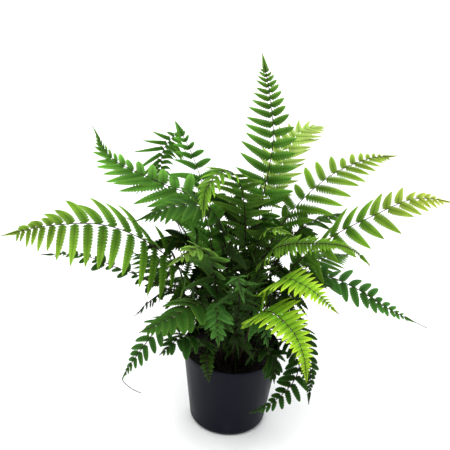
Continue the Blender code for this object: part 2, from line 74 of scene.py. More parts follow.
# Papery scales; each length, width and curl is drawn between two values
CROWN_SCALES = 900
CROWN_SCALE = dict(lengths=(0.004, 0.009), widths=(0.0010, 0.0018), curls=(-0.3, 0.5))
CROWN_SCALE_AREA = (0.0, 0.98)
CROWN_SCALE_SINK = 0.0008
STALK_SCALES = 46
STALK_SCALE = dict(lengths=(0.003, 0.007), widths=(0.0007, 0.0014), curls=(-0.2, 0.5))
SCALY_FROM = 0.002
SCALY_LENGTH = 0.11
SCALE_RIDGE = 0.00012
SCALE_KEEL = 0.00008

# Stalks
STALK_FOOT = 0.1115
STALK_COLLAR = 0.1285
STALK_RADIUS = 0.00125
STALK_TIP_RADIUS = 0.0006
STALK_SWELL = 0.0008
SWELL_LENGTH = 0.02
STALK_SIDES = 8
STALK_STEP = 0.006
FOOT_PULL = 0.6
LEVEL_PULL = 0.25
CURVE_STEPS = 24

# Leaflets along a frond; shares are of the blade, the longest leaflet or the spacing
LOWEST_LENGTH = 0.45
FULL_LENGTH_AT = 0.32
SPACING_FIRST = 0.0036
SPACING_SHARE = 0.36
ROW_STAGGER = 0.08
PAIRS_END = 0.945
WIDEST = 0.62
NARROWING = 0.16
FOOT_LEAN = 0.4
FULL_LEAN_AT = 0.35
TIP_LEAN = 0.60
SHINGLE = 0.13
LENGTH_VARIES = 0.05
LEAN_VARIES = 0.04
DROOP_VARIES = 0.5
SHORT_BLUNTER = 1.2
END_SHARE = 0.98
END_WIDTH = 0.0012
END_WIDTH_SHARE = 0.13
END_BLUNT = -0.05

# What raggedness adds to a leaflet's place, length, lean, twist and swing
RAGGED_PLACE = 0.2
RAGGED_LENGTH = 0.30
RAGGED_LEAN = 0.25
RAGGED_TWIST = 0.25
RAGGED_SWING = 0.5

# The plant's crowded middle, and what it does to the leaflets that grow there. The last three numbers paint
# shade into their colour, all but those drawn as sunlit.
INNER_RADIUS = 0.155
INNER_TOP = 0.385
INNER_EDGE = 0.075
INNER_BACK = 0.025
INNER_DENSER = 0.42
INNER_SHORTER = 0.28
INNER_WIDER = 0.7
INNER_CUT = 0.35
INNER_LEAN = 0.75
INNER_TWIST = 0.9
INNER_HANG = 0.4
INNER_SWING = 1.1
INNER_SHADE_MUTING = 0.6
INNER_SHADE = np.array((0.86, 0.74, 0.92))
SUNLIT = 0.85

# How a leaflet finds room: the swings (in degrees) and sizes that it tries, and the coarse strips, stalks and
# rim that stand for what is near. Leaflets that are CROWDED inside, or RAGGED, have only the rim to clear.
SWINGS = (0, 8, -8, 16, -16, 24, -24, 34, -34, 45, -45)
SIZES = (1.0, 0.8, 0.6, 0.45)
STRIP_ROOM = 0.0009
STALK_ROOM = 0.0004
COARSE_STALK_STEP = 0.012
COARSE_STALK_SIDES = 4
RIM_ROOM = 0.001
COARSE_RIM_FOOT = 0.05
COARSE_RIM_SIDES = 36
STRIP_HALF_THICKNESS = 0.0002
STRIP_STATIONS = (0.10, 0.40, 0.75)
CROWDED = 0.35
RAGGED = 0.85

# Leaflets' edges and blades; each lobe is points of (share along the lobe, share of the cut)
LOBE = ((0.0, 1.0), (0.22, 0.42), (0.62, 0.0), (0.90, 0.22))
COARSE_LOBE = ((0.0, 1.0), (0.30, 0.30), (0.80, 0.0))
COARSE_FROM = 0.3
LOBE_PITCH = 0.0036
LOBES_FROM = 0.03
LOBES_CROWD = 0.93
MOST_LOBES = 14
FEWEST_LOBES = 3
LEAST_CUT = 0.07
DEEPEST_CUT = 0.86
TOOTH_LEAN = 0.30
TOOTH_PIVOT = 0.4
SMOOTHER_TIP = 0.45
FOOT_END = 0.018
FOOT_REACH = 0.06
TIP_REACH = 0.5
LEAST_HALF_WIDTH = 0.00035
FOOT_WIDTH = 0.76
FULL_WIDTH_AT = 0.22
EAR = 0.22
EAR_PLACE = 0.06
FOLD = 0.10
FOLD_VARIES = 0.05
PILLOW = 0.16
GROOVE = 0.02
HALFWAY = 0.52
HALFWAY_FOLD = 0.35
LEAF_HALF_THICKNESS = 0.00014
VEIN_PLACE = 0.42
VEIN_SLANT = 0.25

# Colours
LEAF_PATCH = (0.05, 0.09, 0.01)
LEAF_MOTTLE = (0.75, 0.80, 0.35)
LEAF_VEIN = (0.45, 0.55, 0.30)
# A painted highlight along the leaflets' rims
LEAF_EDGE_HIGHLIGHT = (0.30, 0.38, 0.05)
# Painted shade over the leaflets' centres beside the midrib
LEAF_CENTRE_SHADE = (0.30, 0.50, 0.18)
# The midribs' own darker colour, with painted shade near their feet
LEAF_MIDRIB_AND_SHADE = (0.035, 0.030, 0.008)
LEAF_UNDER = (0.16, 0.26, 0.10)
LEAF_LIT = (0.35, 0.62, 0.03)
GOLD = np.array((0.62, 0.58, 0.11))
GOLD_FROM = 0.55
STALK_STREAK = (0.022, 0.010, 0.005)
FOOT_TONE = 0.35
FULL_TONE_AT = 0.35
SCALE_TONE = (0.05, 0.03, 0.01)
SCALE_DARK = (0.004, 0.002, 0.001)
SCALE_BROWN = (0.020, 0.010, 0.005)
SCALE_GRAIN = (0.060, 0.032, 0.015)
POT_BLACK = (0.0032, 0.0040, 0.0090)
POT_DUST = (0.013, 0.014, 0.022)
COMPOST_BLACK = (0.0015, 0.0012, 0.0008)
COMPOST_BROWN = (0.006, 0.004, 0.0025)
COMPOST_PATCH = (0.006, 0.004, 0.003)
BARK_DARK = (0.003, 0.002, 0.001)
BARK_BROWN = (0.014, 0.008, 0.0045)
BARK_PATCH = (0.010, 0.007, 0.005)
FLOOR_WHITE = (0.90, 0.90, 0.905)
FLOOR_BRIGHT = (0.92, 0.92, 0.925)

# Camera, floor and surround
ELEVATION = math.radians(30)
CAMERA_ROLL = math.radians(3.6)
DISTANCE = 1.7
AIM = Vector((-0.022, 0.0, 0.3489))
FOCAL_PIXELS = 1161.4
FRAME_PIXELS = 450
SENSOR = 36.0
FLOOR_HALF = 6.0
FLOOR_LEVEL = -0.0003
SKY = (0.97, 0.985, 1.0, 1.0)
SKY_STRENGTH = 0.62

SEED = 23


@dataclass
class Look:
    """The colours of a kind of frond, and the slot whose name its finishes take and are kept under."""

    slot: str
    green: tuple
    tip: tuple
    stalk: tuple
    stalk_tip: tuple


# The dark look's tip colour is greyed towards blue-white, partly its own colour and partly a painted sheen
DARK = Look("frond_dark", green=(0.0058, 0.026, 0.0032), tip=(0.034, 0.096, 0.021),
            stalk=(0.008, 0.004, 0.003), stalk_tip=(0.014, 0.013, 0.006))
MIDDLE = Look("frond_middle", green=(0.0115, 0.053, 0.0055), tip=(0.115, 0.275, 0.042),
              stalk=(0.009, 0.004, 0.003), stalk_tip=(0.018, 0.013, 0.006))
COOL = replace(MIDDLE, green=(0.0085, 0.047, 0.0055), tip=(0.085, 0.230, 0.034))
LIGHT = Look("frond_light", green=(0.014, 0.074, 0.006), tip=(0.235, 0.450, 0.045),
             stalk=(0.012, 0.005, 0.003), stalk_tip=(0.030, 0.018, 0.008))
LIME = Look("frond_lime", green=(0.045, 0.190, 0.008), tip=(0.440, 0.620, 0.040),
            stalk=(0.024, 0.013, 0.006), stalk_tip=(0.060, 0.060, 0.012))
PALE = replace(LIME, green=(0.210, 0.350, 0.060), tip=(0.540, 0.630, 0.200), stalk_tip=(0.300, 0.380, 0.080))


@dataclass
class Frond:
    """One frond: the route of its stalk, its leaflets and its look.

    reach is the longest leaflet, bare the share of the stalk below the leaflets, and roll the tilt about the
    stalk. open scales the leaflets' spacing, wide is their width as a share of it, and depth how deeply their
    edges are cut. lean is their lean to the frond's tip; skew adds to the first row's lean and comes off the
    second's. lopsided is the first row's length as a share of the second's. sickle bends them to the tip,
    droop and hang let them fall, blunt rounds their ends, and ragged varies them. taper is the share of the
    blade over which they shorten to its tip, and tail the bare share there. shade scales the frond's colours,
    partly for its own colour and partly as painted light and shade for where it stands in the plant. gold
    yellows its outer part, calm keeps it tidy in the plant's middle and lessens the painted shade there, and
    spike widens its last leaflet.
    Angles are in degrees.
    """

    name: str
    look: Look
    reach: float
    route: list
    bare: float = 0.18
    roll: float = 0
    open: float = 0.72
    wide: float = 1.12
    depth: float = 0.36
    lean: float = 20
    skew: float = 0
    lopsided: float = 1.0
    sickle: float = 14
    droop: float = 0.16
    hang: float = 0.10
    blunt: float = 0.3
    ragged: float = 0.2
    taper: float = 0.42
    tail: float = 0.0
    shade: float = 1.0
    gold: float = 0.0
    calm: float = 0.0
    spike: float = 1.0

    def __post_init__(self):
        """Names the frond's node and turns its angles to radians."""
        self.name = "frond_" + self.name
        for angle in ("roll", "lean", "skew", "sickle"):
            setattr(self, angle, math.radians(getattr(self, angle)))


# Habits that two or three fronds share
FAN = dict(depth=0.22, droop=0.04, hang=0.0, blunt=0.0, ragged=0.15, shade=1.3, calm=1.0)
FILL = dict(bare=0.12, open=0.7, wide=1.28, depth=0.5, blunt=0.4, ragged=0.9)
FRONT_FILL = dict(bare=0.06, open=0.75, wide=1.28, depth=0.75, ragged=0.9)

# Each route is the stalk's foot (x, y) in the crown, then points that the stalk passes, out to its tip.
FRONDS = (
    Frond("tall", MIDDLE, 0.057, [(0.002, 0.004), (0.022, 0.02, 0.245), (0.03, 0.035, 0.365),
          (0.04, 0.05, 0.46), (0.031, 0.055, 0.53), (0.015, 0.05, 0.6)],
          bare=0.12, roll=-38, open=0.82, wide=1.05, depth=0.3, lean=9, lopsided=0.76, droop=0.08,
          hang=0.06, blunt=0.22, ragged=0.12, taper=0.38, shade=1.65, gold=0.12, calm=0.1),
    Frond("left_long", LIGHT, 0.06, [(-0.016, -0.006), (-0.06, -0.03, 0.255), (-0.115, -0.05, 0.33),
          (-0.185, -0.06, 0.37), (-0.265, -0.05, 0.36), (-0.345, -0.03, 0.325)],
          bare=0.2, roll=26, open=0.86, wide=1.0, lean=6, skew=20, lopsided=1.3, sickle=20, hang=0.3,
          blunt=0.35, taper=0.36, gold=0.25),
    Frond("right_far", LIGHT, 0.058, [(0.027, -0.008), (0.072, -0.02, 0.28), (0.13, -0.03, 0.355),
          (0.185, -0.03, 0.395), (0.245, -0.015, 0.42), (0.305, 0.0, 0.41)],
          bare=0.26, roll=-14, open=0.98, wide=0.98, skew=1, sickle=20, blunt=0.25, shade=1.1, gold=1.0),
    Frond("right_upper", LIGHT, 0.057, [(0.013, 0.005), (0.03, 0.01, 0.26), (0.065, 0.02, 0.35),
          (0.12, 0.045, 0.41), (0.18, 0.07, 0.435), (0.23, 0.09, 0.435)],
          bare=0.16, roll=-14, open=0.95, wide=0.92, depth=0.6, skew=12, lopsided=1.3, sickle=6, droop=0.12,
          blunt=0.4, gold=0.45),
    Frond("upper_left", MIDDLE, 0.082, [(-0.01, 0.013), (-0.035, 0.05, 0.255), (-0.065, 0.085, 0.335),
          (-0.135, 0.105, 0.36), (-0.2, 0.11, 0.39), (-0.23, 0.105, 0.445)],
          bare=0.14, roll=20, open=0.66, lean=30, skew=-16, lopsided=0.46, sickle=8, droop=0.08, hang=0.04,
          blunt=0.25, shade=1.65, calm=0.7),
    Frond("right_low", DARK, 0.034, [(0.034, 0.004), (0.07, 0.005, 0.22), (0.12, 0.0, 0.27),
          (0.17, -0.02, 0.27), (0.23, -0.04, 0.245), (0.285, -0.06, 0.23)],
          bare=0.2, roll=-14, open=1.15, wide=1.0, depth=0.25, lean=18, skew=16, blunt=0.75, tail=0.05,
          shade=2.9),
    Frond("lime_front", LIME, 0.056, [(0.012, -0.04), (0.025, -0.095, 0.24), (0.045, -0.145, 0.3),
          (0.075, -0.2, 0.31), (0.092, -0.228, 0.29), (0.1, -0.236, 0.25)],
          **FAN, bare=0.36, roll=-20, wide=2.3, lean=3, lopsided=0.8, taper=0.8),
    Frond("lime_right", LIME, 0.042, [(0.019, -0.032), (0.035, -0.08, 0.265), (0.06, -0.125, 0.34),
          (0.095, -0.165, 0.355), (0.135, -0.2, 0.34)],
          **FAN, bare=0.5, roll=-16, wide=2.2, lean=5, taper=0.7),
    Frond("lime_back", PALE, 0.046, [(0.011, 0.022), (0.04, 0.08, 0.26), (0.06, 0.15, 0.375),
          (0.085, 0.19, 0.415), (0.13, 0.21, 0.42)],
          bare=0.55, open=0.62, wide=1.6, depth=0.3, sickle=24, droop=0.05, blunt=-0.15, taper=0.3,
          shade=1.15),
    Frond("upright_left", COOL, 0.07, [(-0.004, 0.024), (-0.03, 0.075, 0.25), (-0.055, 0.12, 0.33),
          (-0.08, 0.15, 0.385), (-0.11, 0.165, 0.435)],
          bare=0.2, open=0.88, wide=0.72, depth=0.3, lean=14, skew=-16, lopsided=0.72, sickle=0, hang=0.2,
          blunt=0.2, shade=1.75, spike=2.0),
    Frond("right_middle", LIGHT, 0.046, [(0.017, -0.022), (0.02, -0.06, 0.26), (0.045, -0.1, 0.37),
          (0.105, -0.14, 0.41), (0.145, -0.165, 0.42), (0.17, -0.18, 0.405)],
          bare=0.26, roll=-35, open=0.62, wide=1.35, blunt=0.1, taper=0.95, shade=0.85, calm=0.5),
    Frond("front_left", COOL, 0.044, [(-0.014, -0.038), (-0.03, -0.08, 0.24), (-0.055, -0.115, 0.285),
          (-0.09, -0.155, 0.285), (-0.13, -0.18, 0.275)],
          bare=0.28, roll=4, open=0.85, wide=2.1, depth=0.2, droop=0.22, hang=0.24, blunt=0.8, shade=0.7,
          calm=0.5),
    Frond("crest", LIGHT, 0.058, [(0.0, -0.008), (0.01, -0.015, 0.295), (0.0, -0.03, 0.42),
          (-0.025, -0.06, 0.47), (-0.05, -0.09, 0.455), (-0.052, -0.105, 0.415)],
          bare=0.24, open=0.7, wide=0.95, blunt=0.1, shade=1.15),
    Frond("dark_front", DARK, 0.028, [(0.032, -0.026), (0.06, -0.06, 0.225), (0.095, -0.1, 0.24),
          (0.112, -0.125, 0.2), (0.116, -0.135, 0.135)],
          bare=0.12, open=0.95, wide=1.0, depth=0.25, blunt=0.8, calm=0.6),
    Frond("rim_curl", DARK, 0.026, [(0.04, -0.016), (0.068, -0.055, 0.19), (0.097, -0.08, 0.185),
          (0.096, -0.1, 0.155), (0.068, -0.112, 0.12), (0.03, -0.116, 0.095)],
          bare=0.3, open=1.05, wide=0.95, depth=0.2, blunt=0.9, shade=1.1, calm=1.0),
    Frond("left_droop", DARK, 0.031, [(-0.033, -0.022), (-0.065, -0.06, 0.215), (-0.1, -0.095, 0.235),
          (-0.13, -0.12, 0.205), (-0.155, -0.13, 0.16), (-0.15, -0.13, 0.146), (-0.141, -0.13, 0.138),
          (-0.129, -0.13, 0.1324)],
          bare=0.25, open=1.1, wide=0.88, depth=0.15, blunt=0.85, tail=0.12, shade=1.8, calm=1.0),
    Frond("left_thin", DARK, 0.021, [(-0.03, 0.007), (-0.065, 0.025, 0.185), (-0.115, 0.04, 0.21),
          (-0.185, 0.06, 0.225), (-0.245, 0.075, 0.235), (-0.31, 0.085, 0.225)],
          bare=0.2, roll=10, open=1.4, wide=1.35, depth=0.3, blunt=0.9, ragged=0.95, shade=1.3),
    Frond("left_low", DARK, 0.022, [(-0.033, 0.02), (-0.065, 0.045, 0.18), (-0.1, 0.055, 0.195),
          (-0.13, 0.06, 0.17), (-0.158, 0.06, 0.135)],
          bare=0.26, open=1.1, wide=0.98, depth=0.3, blunt=0.6, ragged=0.8, shade=0.8),
    Frond("fine_back", MIDDLE, 0.054, [(-0.018, 0.028), (-0.075, 0.11, 0.23), (-0.12, 0.165, 0.305),
          (-0.13, 0.195, 0.36), (-0.105, 0.205, 0.4)],
          bare=0.74, open=0.4, wide=1.15, depth=0.2, lean=-5, skew=36, lopsided=0.6, sickle=24, hang=0.9,
          blunt=0.0, taper=0.22, shade=1.5),
    Frond("centre_left", COOL, 0.062, [(-0.01, -0.02), (-0.015, -0.035, 0.305), (-0.04, -0.045, 0.395),
          (-0.09, -0.06, 0.41), (-0.15, -0.07, 0.385)],
          roll=10, open=0.8, wide=1.3, shade=0.7),
    Frond("forward_left", MIDDLE, 0.046, [(-0.011, -0.028), (-0.025, -0.075, 0.265), (-0.04, -0.125, 0.37),
          (-0.06, -0.165, 0.405), (-0.095, -0.2, 0.395)],
          bare=0.2, open=1.2, wide=1.1, depth=0.75, blunt=0.35, ragged=0.9, shade=1.1, gold=0.2),
    Frond("forward_centre", DARK, 0.036, [(0.003, -0.044), (0.004, -0.09, 0.24), (0.004, -0.14, 0.34),
          (0.0, -0.175, 0.37), (0.01, -0.205, 0.35)],
          open=0.85, wide=1.1, depth=0.75, ragged=0.9, shade=1.6),
    Frond("centre_right", LIGHT, 0.048, [(0.01, -0.01), (0.018, -0.03, 0.285), (0.036, -0.055, 0.375),
          (0.075, -0.085, 0.39)],
          open=0.66, depth=0.6, ragged=0.4, shade=0.8),
    Frond("rim_small", MIDDLE, 0.013, [(-0.024, -0.04), (-0.03, -0.068, 0.175), (-0.036, -0.09, 0.17),
          (-0.031, -0.1, 0.135)],
          bare=0.34, open=1.0, wide=0.98, depth=0.2, blunt=0.9, shade=0.45, calm=1.0),
    Frond("rim_right", DARK, 0.036, [(0.028, -0.033), (0.045, -0.06, 0.175), (0.06, -0.076, 0.173),
          (0.066, -0.092, 0.135)],
          bare=0.06, open=0.7, wide=1.3, blunt=0.8, ragged=0.3, shade=1.1, calm=0.4),
    Frond("rim_left", DARK, 0.036, [(-0.026, -0.03), (-0.055, -0.07, 0.195), (-0.08, -0.1, 0.21),
          (-0.105, -0.12, 0.195)],
          bare=0.22, open=0.85, wide=1.6, depth=0.3, hang=0.3, blunt=0.8, ragged=0.4, shade=2.2, calm=0.7),
    Frond("right_behind", MIDDLE, 0.052, [(0.022, 0.014), (0.055, 0.06, 0.24), (0.1, 0.095, 0.3),
          (0.165, 0.12, 0.315)],
          roll=-6, wide=1.25, ragged=0.5, shade=0.8, spike=2.0),
    Frond("front_fill_left", DARK, 0.052, [(-0.003, -0.034), (-0.01, -0.062, 0.22), (-0.025, -0.1, 0.285),
          (-0.025, -0.135, 0.275), (-0.02, -0.15, 0.235)],
          **FRONT_FILL, shade=2.6),
    Frond("front_fill_right", DARK, 0.052, [(0.007, -0.027), (0.015, -0.06, 0.225), (0.028, -0.095, 0.275),
          (0.042, -0.12, 0.265), (0.05, -0.13, 0.225)],
          **FRONT_FILL, shade=2.5),
    Frond("centre_back", DARK, 0.08, [(0.003, 0.013), (0.0, 0.045, 0.225), (0.002, 0.075, 0.305),
          (-0.015, 0.1, 0.345)],
          **FILL, taper=0.18, shade=0.6, calm=0.5),
    Frond("centre_dark", DARK, 0.074, [(-0.019, 0.005), (-0.04, 0.003, 0.235), (-0.062, -0.008, 0.31),
          (-0.105, -0.02, 0.345)],
          **FILL, taper=0.18, spike=2.5),
    Frond("right_dark", DARK, 0.048, [(0.022, -0.001), (0.05, -0.03, 0.235), (0.09, -0.06, 0.3),
          (0.135, -0.08, 0.305)],
          **FILL, taper=0.25, spike=2.0),
    Frond("back_right", MIDDLE, 0.052, [(0.03, 0.024), (0.08, 0.08, 0.18), (0.125, 0.13, 0.215),
          (0.19, 0.18, 0.205)]),
    Frond("back_middle_right", MIDDLE, 0.052, [(0.014, 0.037), (0.025, 0.1, 0.205), (0.042, 0.16, 0.245),
          (0.075, 0.23, 0.24)]),
    Frond("back_middle_left", MIDDLE, 0.052, [(-0.008, 0.039), (-0.03, 0.1, 0.19), (-0.055, 0.17, 0.22),
          (-0.085, 0.25, 0.205)]),
    Frond("back_left", DARK, 0.052, [(-0.027, 0.033), (-0.08, 0.09, 0.16), (-0.125, 0.14, 0.185),
          (-0.175, 0.19, 0.175)],
          shade=1.3),
)


# Materials

class Nodes:
    """A material's node tree, with short calls to add nodes and links."""

    def __init__(self, name):
        self.material = bpy.data.materials.new(name)
        self.material.use_nodes = True
        self.tree = self.material.node_tree
        self.shader = self.tree.nodes["Principled BSDF"]

    def add(self, kind, **inputs):
        """A node whose sockets are set or linked by name; settings named _word are its own and come first."""
        node = self.tree.nodes.new("ShaderNode" + kind)
        for key, value in inputs.items():
            if key.startswith("_"):
                setattr(node, key[1:], value)
            else:
                self.feed(node.inputs[key.replace("_", " ")], value)
        return node

    def feed(self, socket, value):
        if isinstance(value, bpy.types.NodeSocket):
            self.tree.links.new(value, socket)
        else:
            socket.default_value = value

    def maths(self, operation, first, second=0.0):
        node = self.add("Math", _operation=operation)
        self.feed(node.inputs[0], first)
        self.feed(node.inputs[1], second)
        return node.outputs[0]

    def ramp(self, value, low, high, from_value=0.0, to_value=1.0):
        """value carried smoothly from low..high to from_value..to_value, and held outside."""
        node = self.add("MapRange", _interpolation_type="SMOOTHSTEP", Value=value,
                        From_Min=low, From_Max=high, To_Min=from_value, To_Max=to_value)
        return node.outputs["Result"]

    def blend(self, factor, first, second, kind="MIX"):
        """Two colours mixed by a factor, each a socket or its red, green and blue."""
        node = self.add("Mix", _data_type="RGBA", _blend_type=kind, Factor=factor)
        for name, colour in (("A", first), ("B", second)):
            self.feed(node.inputs[name], (*colour, 1.0) if isinstance(colour, tuple) else colour)
        return node.outputs["Result"]

    def place(self):
        return self.add("TexCoord").outputs["Object"]

    def noise(self, scale, detail=3.0, roughness=0.55, stretch=None):
        """Noise in the object's own space, drawn out along the axes whose stretch is under 1."""
        place = self.place()
        if stretch:
            place = self.add("Mapping", Vector=place, Scale=stretch).outputs[0]
        node = self.add("TexNoise", Vector=place, Scale=scale, Detail=detail, Roughness=roughness)
        return node.outputs["Fac"]

    def bump(self, height, strength, distance):
        node = self.add("Bump", Strength=strength, Distance=distance, Height=height)
        self.feed(self.shader.inputs["Normal"], node.outputs["Normal"])

    def finish(self, colour, roughness, specular):
        self.feed(self.shader.inputs["Base Color"], colour)
        self.feed(self.shader.inputs["Roughness"], roughness)
        self.feed(self.shader.inputs["Specular IOR Level"], specular)


def leaf_material(name, paler, specular):
    """A leaflet's skin: its own green, mottled, with veins, a darker midrib, a painted highlight along its
    rims, painted shade over its centre and at its midrib's foot, and light showing through.
    """
    nodes = Nodes(name)
    green = nodes.add("Attribute", _attribute_name="tone").outputs["Color"]
    blade = nodes.add("Attribute", _attribute_name="blade").outputs["Vector"]
    lobe, across, along = nodes.add("SeparateXYZ", Vector=blade).outputs
    side = nodes.maths("ABSOLUTE", across)
    midrib = nodes.ramp(side, 0.03, 0.13, 1.0, 0.0)
    slanted = nodes.maths("SUBTRACT", lobe, nodes.maths("MULTIPLY", side, VEIN_SLANT))
    from_vein = nodes.maths("ABSOLUTE", nodes.maths("SUBTRACT", nodes.maths("FRACT", slanted), VEIN_PLACE))
    vein = nodes.ramp(from_vein, 0.02, 0.10, 1.0, 0.0)
    mottle = nodes.noise(160.0)
    patches = nodes.noise(28.0, 2.0)
    colour = nodes.blend(nodes.ramp(patches, 0.35, 0.7, 0.0, 0.35), green, LEAF_PATCH, "MULTIPLY")
    colour = nodes.blend(nodes.ramp(mottle, 0.3, 0.75, 0.0, 0.25), colour, LEAF_MOTTLE, "SOFT_LIGHT")
    colour = nodes.blend(nodes.maths("MULTIPLY", vein, 0.45), colour, LEAF_VEIN, "MULTIPLY")
    # Painted highlight along the rims
    colour = nodes.blend(nodes.ramp(side, 0.70, 1.0, 0.0, 0.14), colour, LEAF_EDGE_HIGHLIGHT, "SCREEN")
    # Painted shade over the blade's centre either side of the midrib
    colour = nodes.blend(nodes.ramp(side, 0.0, 0.65, 0.55, 0.0), colour, LEAF_CENTRE_SHADE, "MULTIPLY")
    # The midrib's own darker colour, with painted shade that is strongest near the leaflet's foot
    foot = nodes.maths("MULTIPLY", midrib, nodes.ramp(along, 0.05, 0.75, 0.60, 0.12))
    colour = nodes.blend(foot, colour, LEAF_MIDRIB_AND_SHADE)
    colour = nodes.blend(paler, colour, LEAF_UNDER)
    nodes.finish(colour, nodes.ramp(mottle, 0.3, 0.7, 0.46, 0.62), specular)
    height = nodes.maths("SUBTRACT", nodes.maths("MULTIPLY", mottle, 0.3), vein)
    nodes.bump(nodes.maths("SUBTRACT", height, midrib), 0.5, 0.0004)
    through = nodes.add("BsdfTranslucent", Color=nodes.blend(0.35, colour, LEAF_LIT))
    mixed = nodes.add("MixShader", Fac=0.22)
    nodes.feed(mixed.inputs[1], nodes.shader.outputs[0])
    nodes.feed(mixed.inputs[2], through.outputs[0])
    nodes.feed(nodes.tree.nodes["Material Output"].inputs["Surface"], mixed.outputs[0])
    return nodes.material


def stalk_material():
    """Dark wiry stalk, streaked along its length and finely scaly."""
    nodes = Nodes("stalk")
    tone = nodes.add("Attribute", _attribute_name="tone").outputs["Color"]
    streaks = nodes.noise(900.0, 3.0, 0.6, (1, 1, 0.12))
    colour = nodes.blend(nodes.ramp(streaks, 0.35, 0.7, 0.0, 0.35), tone, STALK_STREAK)
    nodes.finish(colour, nodes.ramp(streaks, 0.3, 0.7, 0.5, 0.75), 0.12)
    nodes.bump(streaks, 0.5, 0.0002)
    return nodes.material


def scale_material():
    """Thin papery brown scales."""
    nodes = Nodes("papery_scales")
    grain = nodes.noise(1400.0, 2.0, 0.5)
    colour = nodes.blend(nodes.ramp(nodes.noise(120.0), 0.3, 0.7), SCALE_DARK, SCALE_BROWN)
    colour = nodes.blend(nodes.ramp(grain, 0.4, 0.7, 0.0, 0.4), colour, SCALE_GRAIN)
    nodes.finish(colour, 0.62, 0.3)
    nodes.bump(grain, 0.4, 0.0002)
    return nodes.material


def pot_material():
    """Satin black growing-pot plastic with faint moulding ripple, fine grain and dust near the foot."""
    nodes = Nodes("pot_plastic")
    height = nodes.add("SeparateXYZ", Vector=nodes.place()).outputs["Z"]
    grain = nodes.noise(2600.0, 2.0, 0.5)
    scuffs = nodes.noise(55.0, 6.0, 0.7, (1, 1, 0.35))
    dust = nodes.maths("MULTIPLY", nodes.ramp(scuffs, 0.5, 0.72), nodes.ramp(height, 0.0, 0.05, 0.5, 0.12))
    colour = nodes.blend(dust, POT_BLACK, POT_DUST)
    nodes.finish(colour, nodes.ramp(scuffs, 0.3, 0.75, 0.36, 0.5), 0.07)
    rings = nodes.maths("SINE", nodes.maths("MULTIPLY", height, 1500.0))
    relief = nodes.maths("ADD", nodes.maths("MULTIPLY", grain, 0.5), nodes.maths("MULTIPLY", rings, 0.12))
    nodes.bump(relief, 0.25, 0.0002)
    return nodes.material


def compost_material():
    """Dark damp compost, mottled from near black to brown."""
    nodes = Nodes("bark_compost")
    lumps = nodes.noise(260.0, 6.0, 0.65)
    colour = nodes.blend(nodes.ramp(lumps, 0.35, 0.7), COMPOST_BLACK, COMPOST_BROWN)
    colour = nodes.blend(nodes.ramp(nodes.noise(50.0), 0.4, 0.65, 0.0, 0.5), colour, COMPOST_PATCH)
    nodes.finish(colour, nodes.ramp(lumps, 0.3, 0.7, 0.98, 0.75), 0.2)
    nodes.bump(lumps, 0.8, 0.0012)
    return nodes.material


def bark_material():
    """Chips of bark: warm brown, fibrous."""
    nodes = Nodes("bark_chips")
    fibre = nodes.noise(420.0, 4.0, 0.6, (1, 0.25, 1))
    colour = nodes.blend(nodes.ramp(fibre, 0.35, 0.7), BARK_DARK, BARK_BROWN)
    colour = nodes.blend(nodes.ramp(nodes.noise(75.0), 0.45, 0.7, 0.0, 0.7), colour, BARK_PATCH)
    nodes.finish(colour, 0.85, 0.25)
    nodes.bump(fibre, 0.7, 0.0008)
    return nodes.material


def floor_material():
    """A plain matt white surface."""
    nodes = Nodes("studio_white")
    nodes.finish(nodes.blend(nodes.noise(3.0, 2.0), FLOOR_WHITE, FLOOR_BRIGHT), 0.9, 0.1)
    return nodes.material


# Meshes

class Heap:
    """What one object's mesh is made of: points, faces and their materials' numbers.

    Each point of a frond also has its tone, and its blade place: lobe, share across and share along.
    """

    def __init__(self, points=(), faces=(), index=0):
        self.points = []
        self.faces = []
        self.indices = []
        self.tones = []
        self.blades = []
        self.add(points, faces, index)

    def add(self, points, faces, index=0, tones=(), blades=None):
        """Adds points and faces; index is one material's number, or a list of them, one for each face."""
        first = len(self.points)
        self.points.extend(points)
        self.faces.extend([first + corner for corner in face] for face in faces)
        self.indices.extend([index] * len(faces) if isinstance(index, int) else index)
        self.tones.extend(tones)
        self.blades.extend(blades or [(0.0, 0.0, 0.0)] * len(points))


def add_object(name, data):
    made = bpy.data.objects.new(name, data)
    bpy.context.scene.collection.objects.link(made)
    return made


def smooth(mesh, angle):
    """Smooths a mesh except where its faces meet more sharply than an angle in degrees."""
    mesh.shade_smooth()
    mesh.set_sharp_from_angle(angle=math.radians(angle))


def make_object(name, heap, materials, smooth_angle=None):
    mesh = bpy.data.meshes.new(name)
    mesh.from_pydata(heap.points, [], heap.faces)
    for one in materials:
        mesh.materials.append(one)
    mesh.polygons.foreach_set("material_index", np.asarray(heap.indices, np.int32))
    if smooth_angle:
        smooth(mesh, smooth_angle)
    mesh.update()
    return add_object(name, mesh)


def settle_piece(piece, node):
    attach(piece, "root")
    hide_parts(node)


def circle(count, start=0.0):
    """The cosine and sine at equal steps round a circle, the first turned by a share of a step."""
    angles = [2 * math.pi * (step + start) / count for step in range(count)]
    return [(math.cos(angle), math.sin(angle)) for angle in angles]


def band(low, high, count, flip=False):
    """The faces between two rings of points, from the number of each ring's first; flip turns them over."""
    faces = []
    for step in range(count):
        after = (step + 1) % count
        others = [low + after, high + after, high + step]
        if flip:
            others.reverse()
        faces.append((low + step, *others))
    return faces


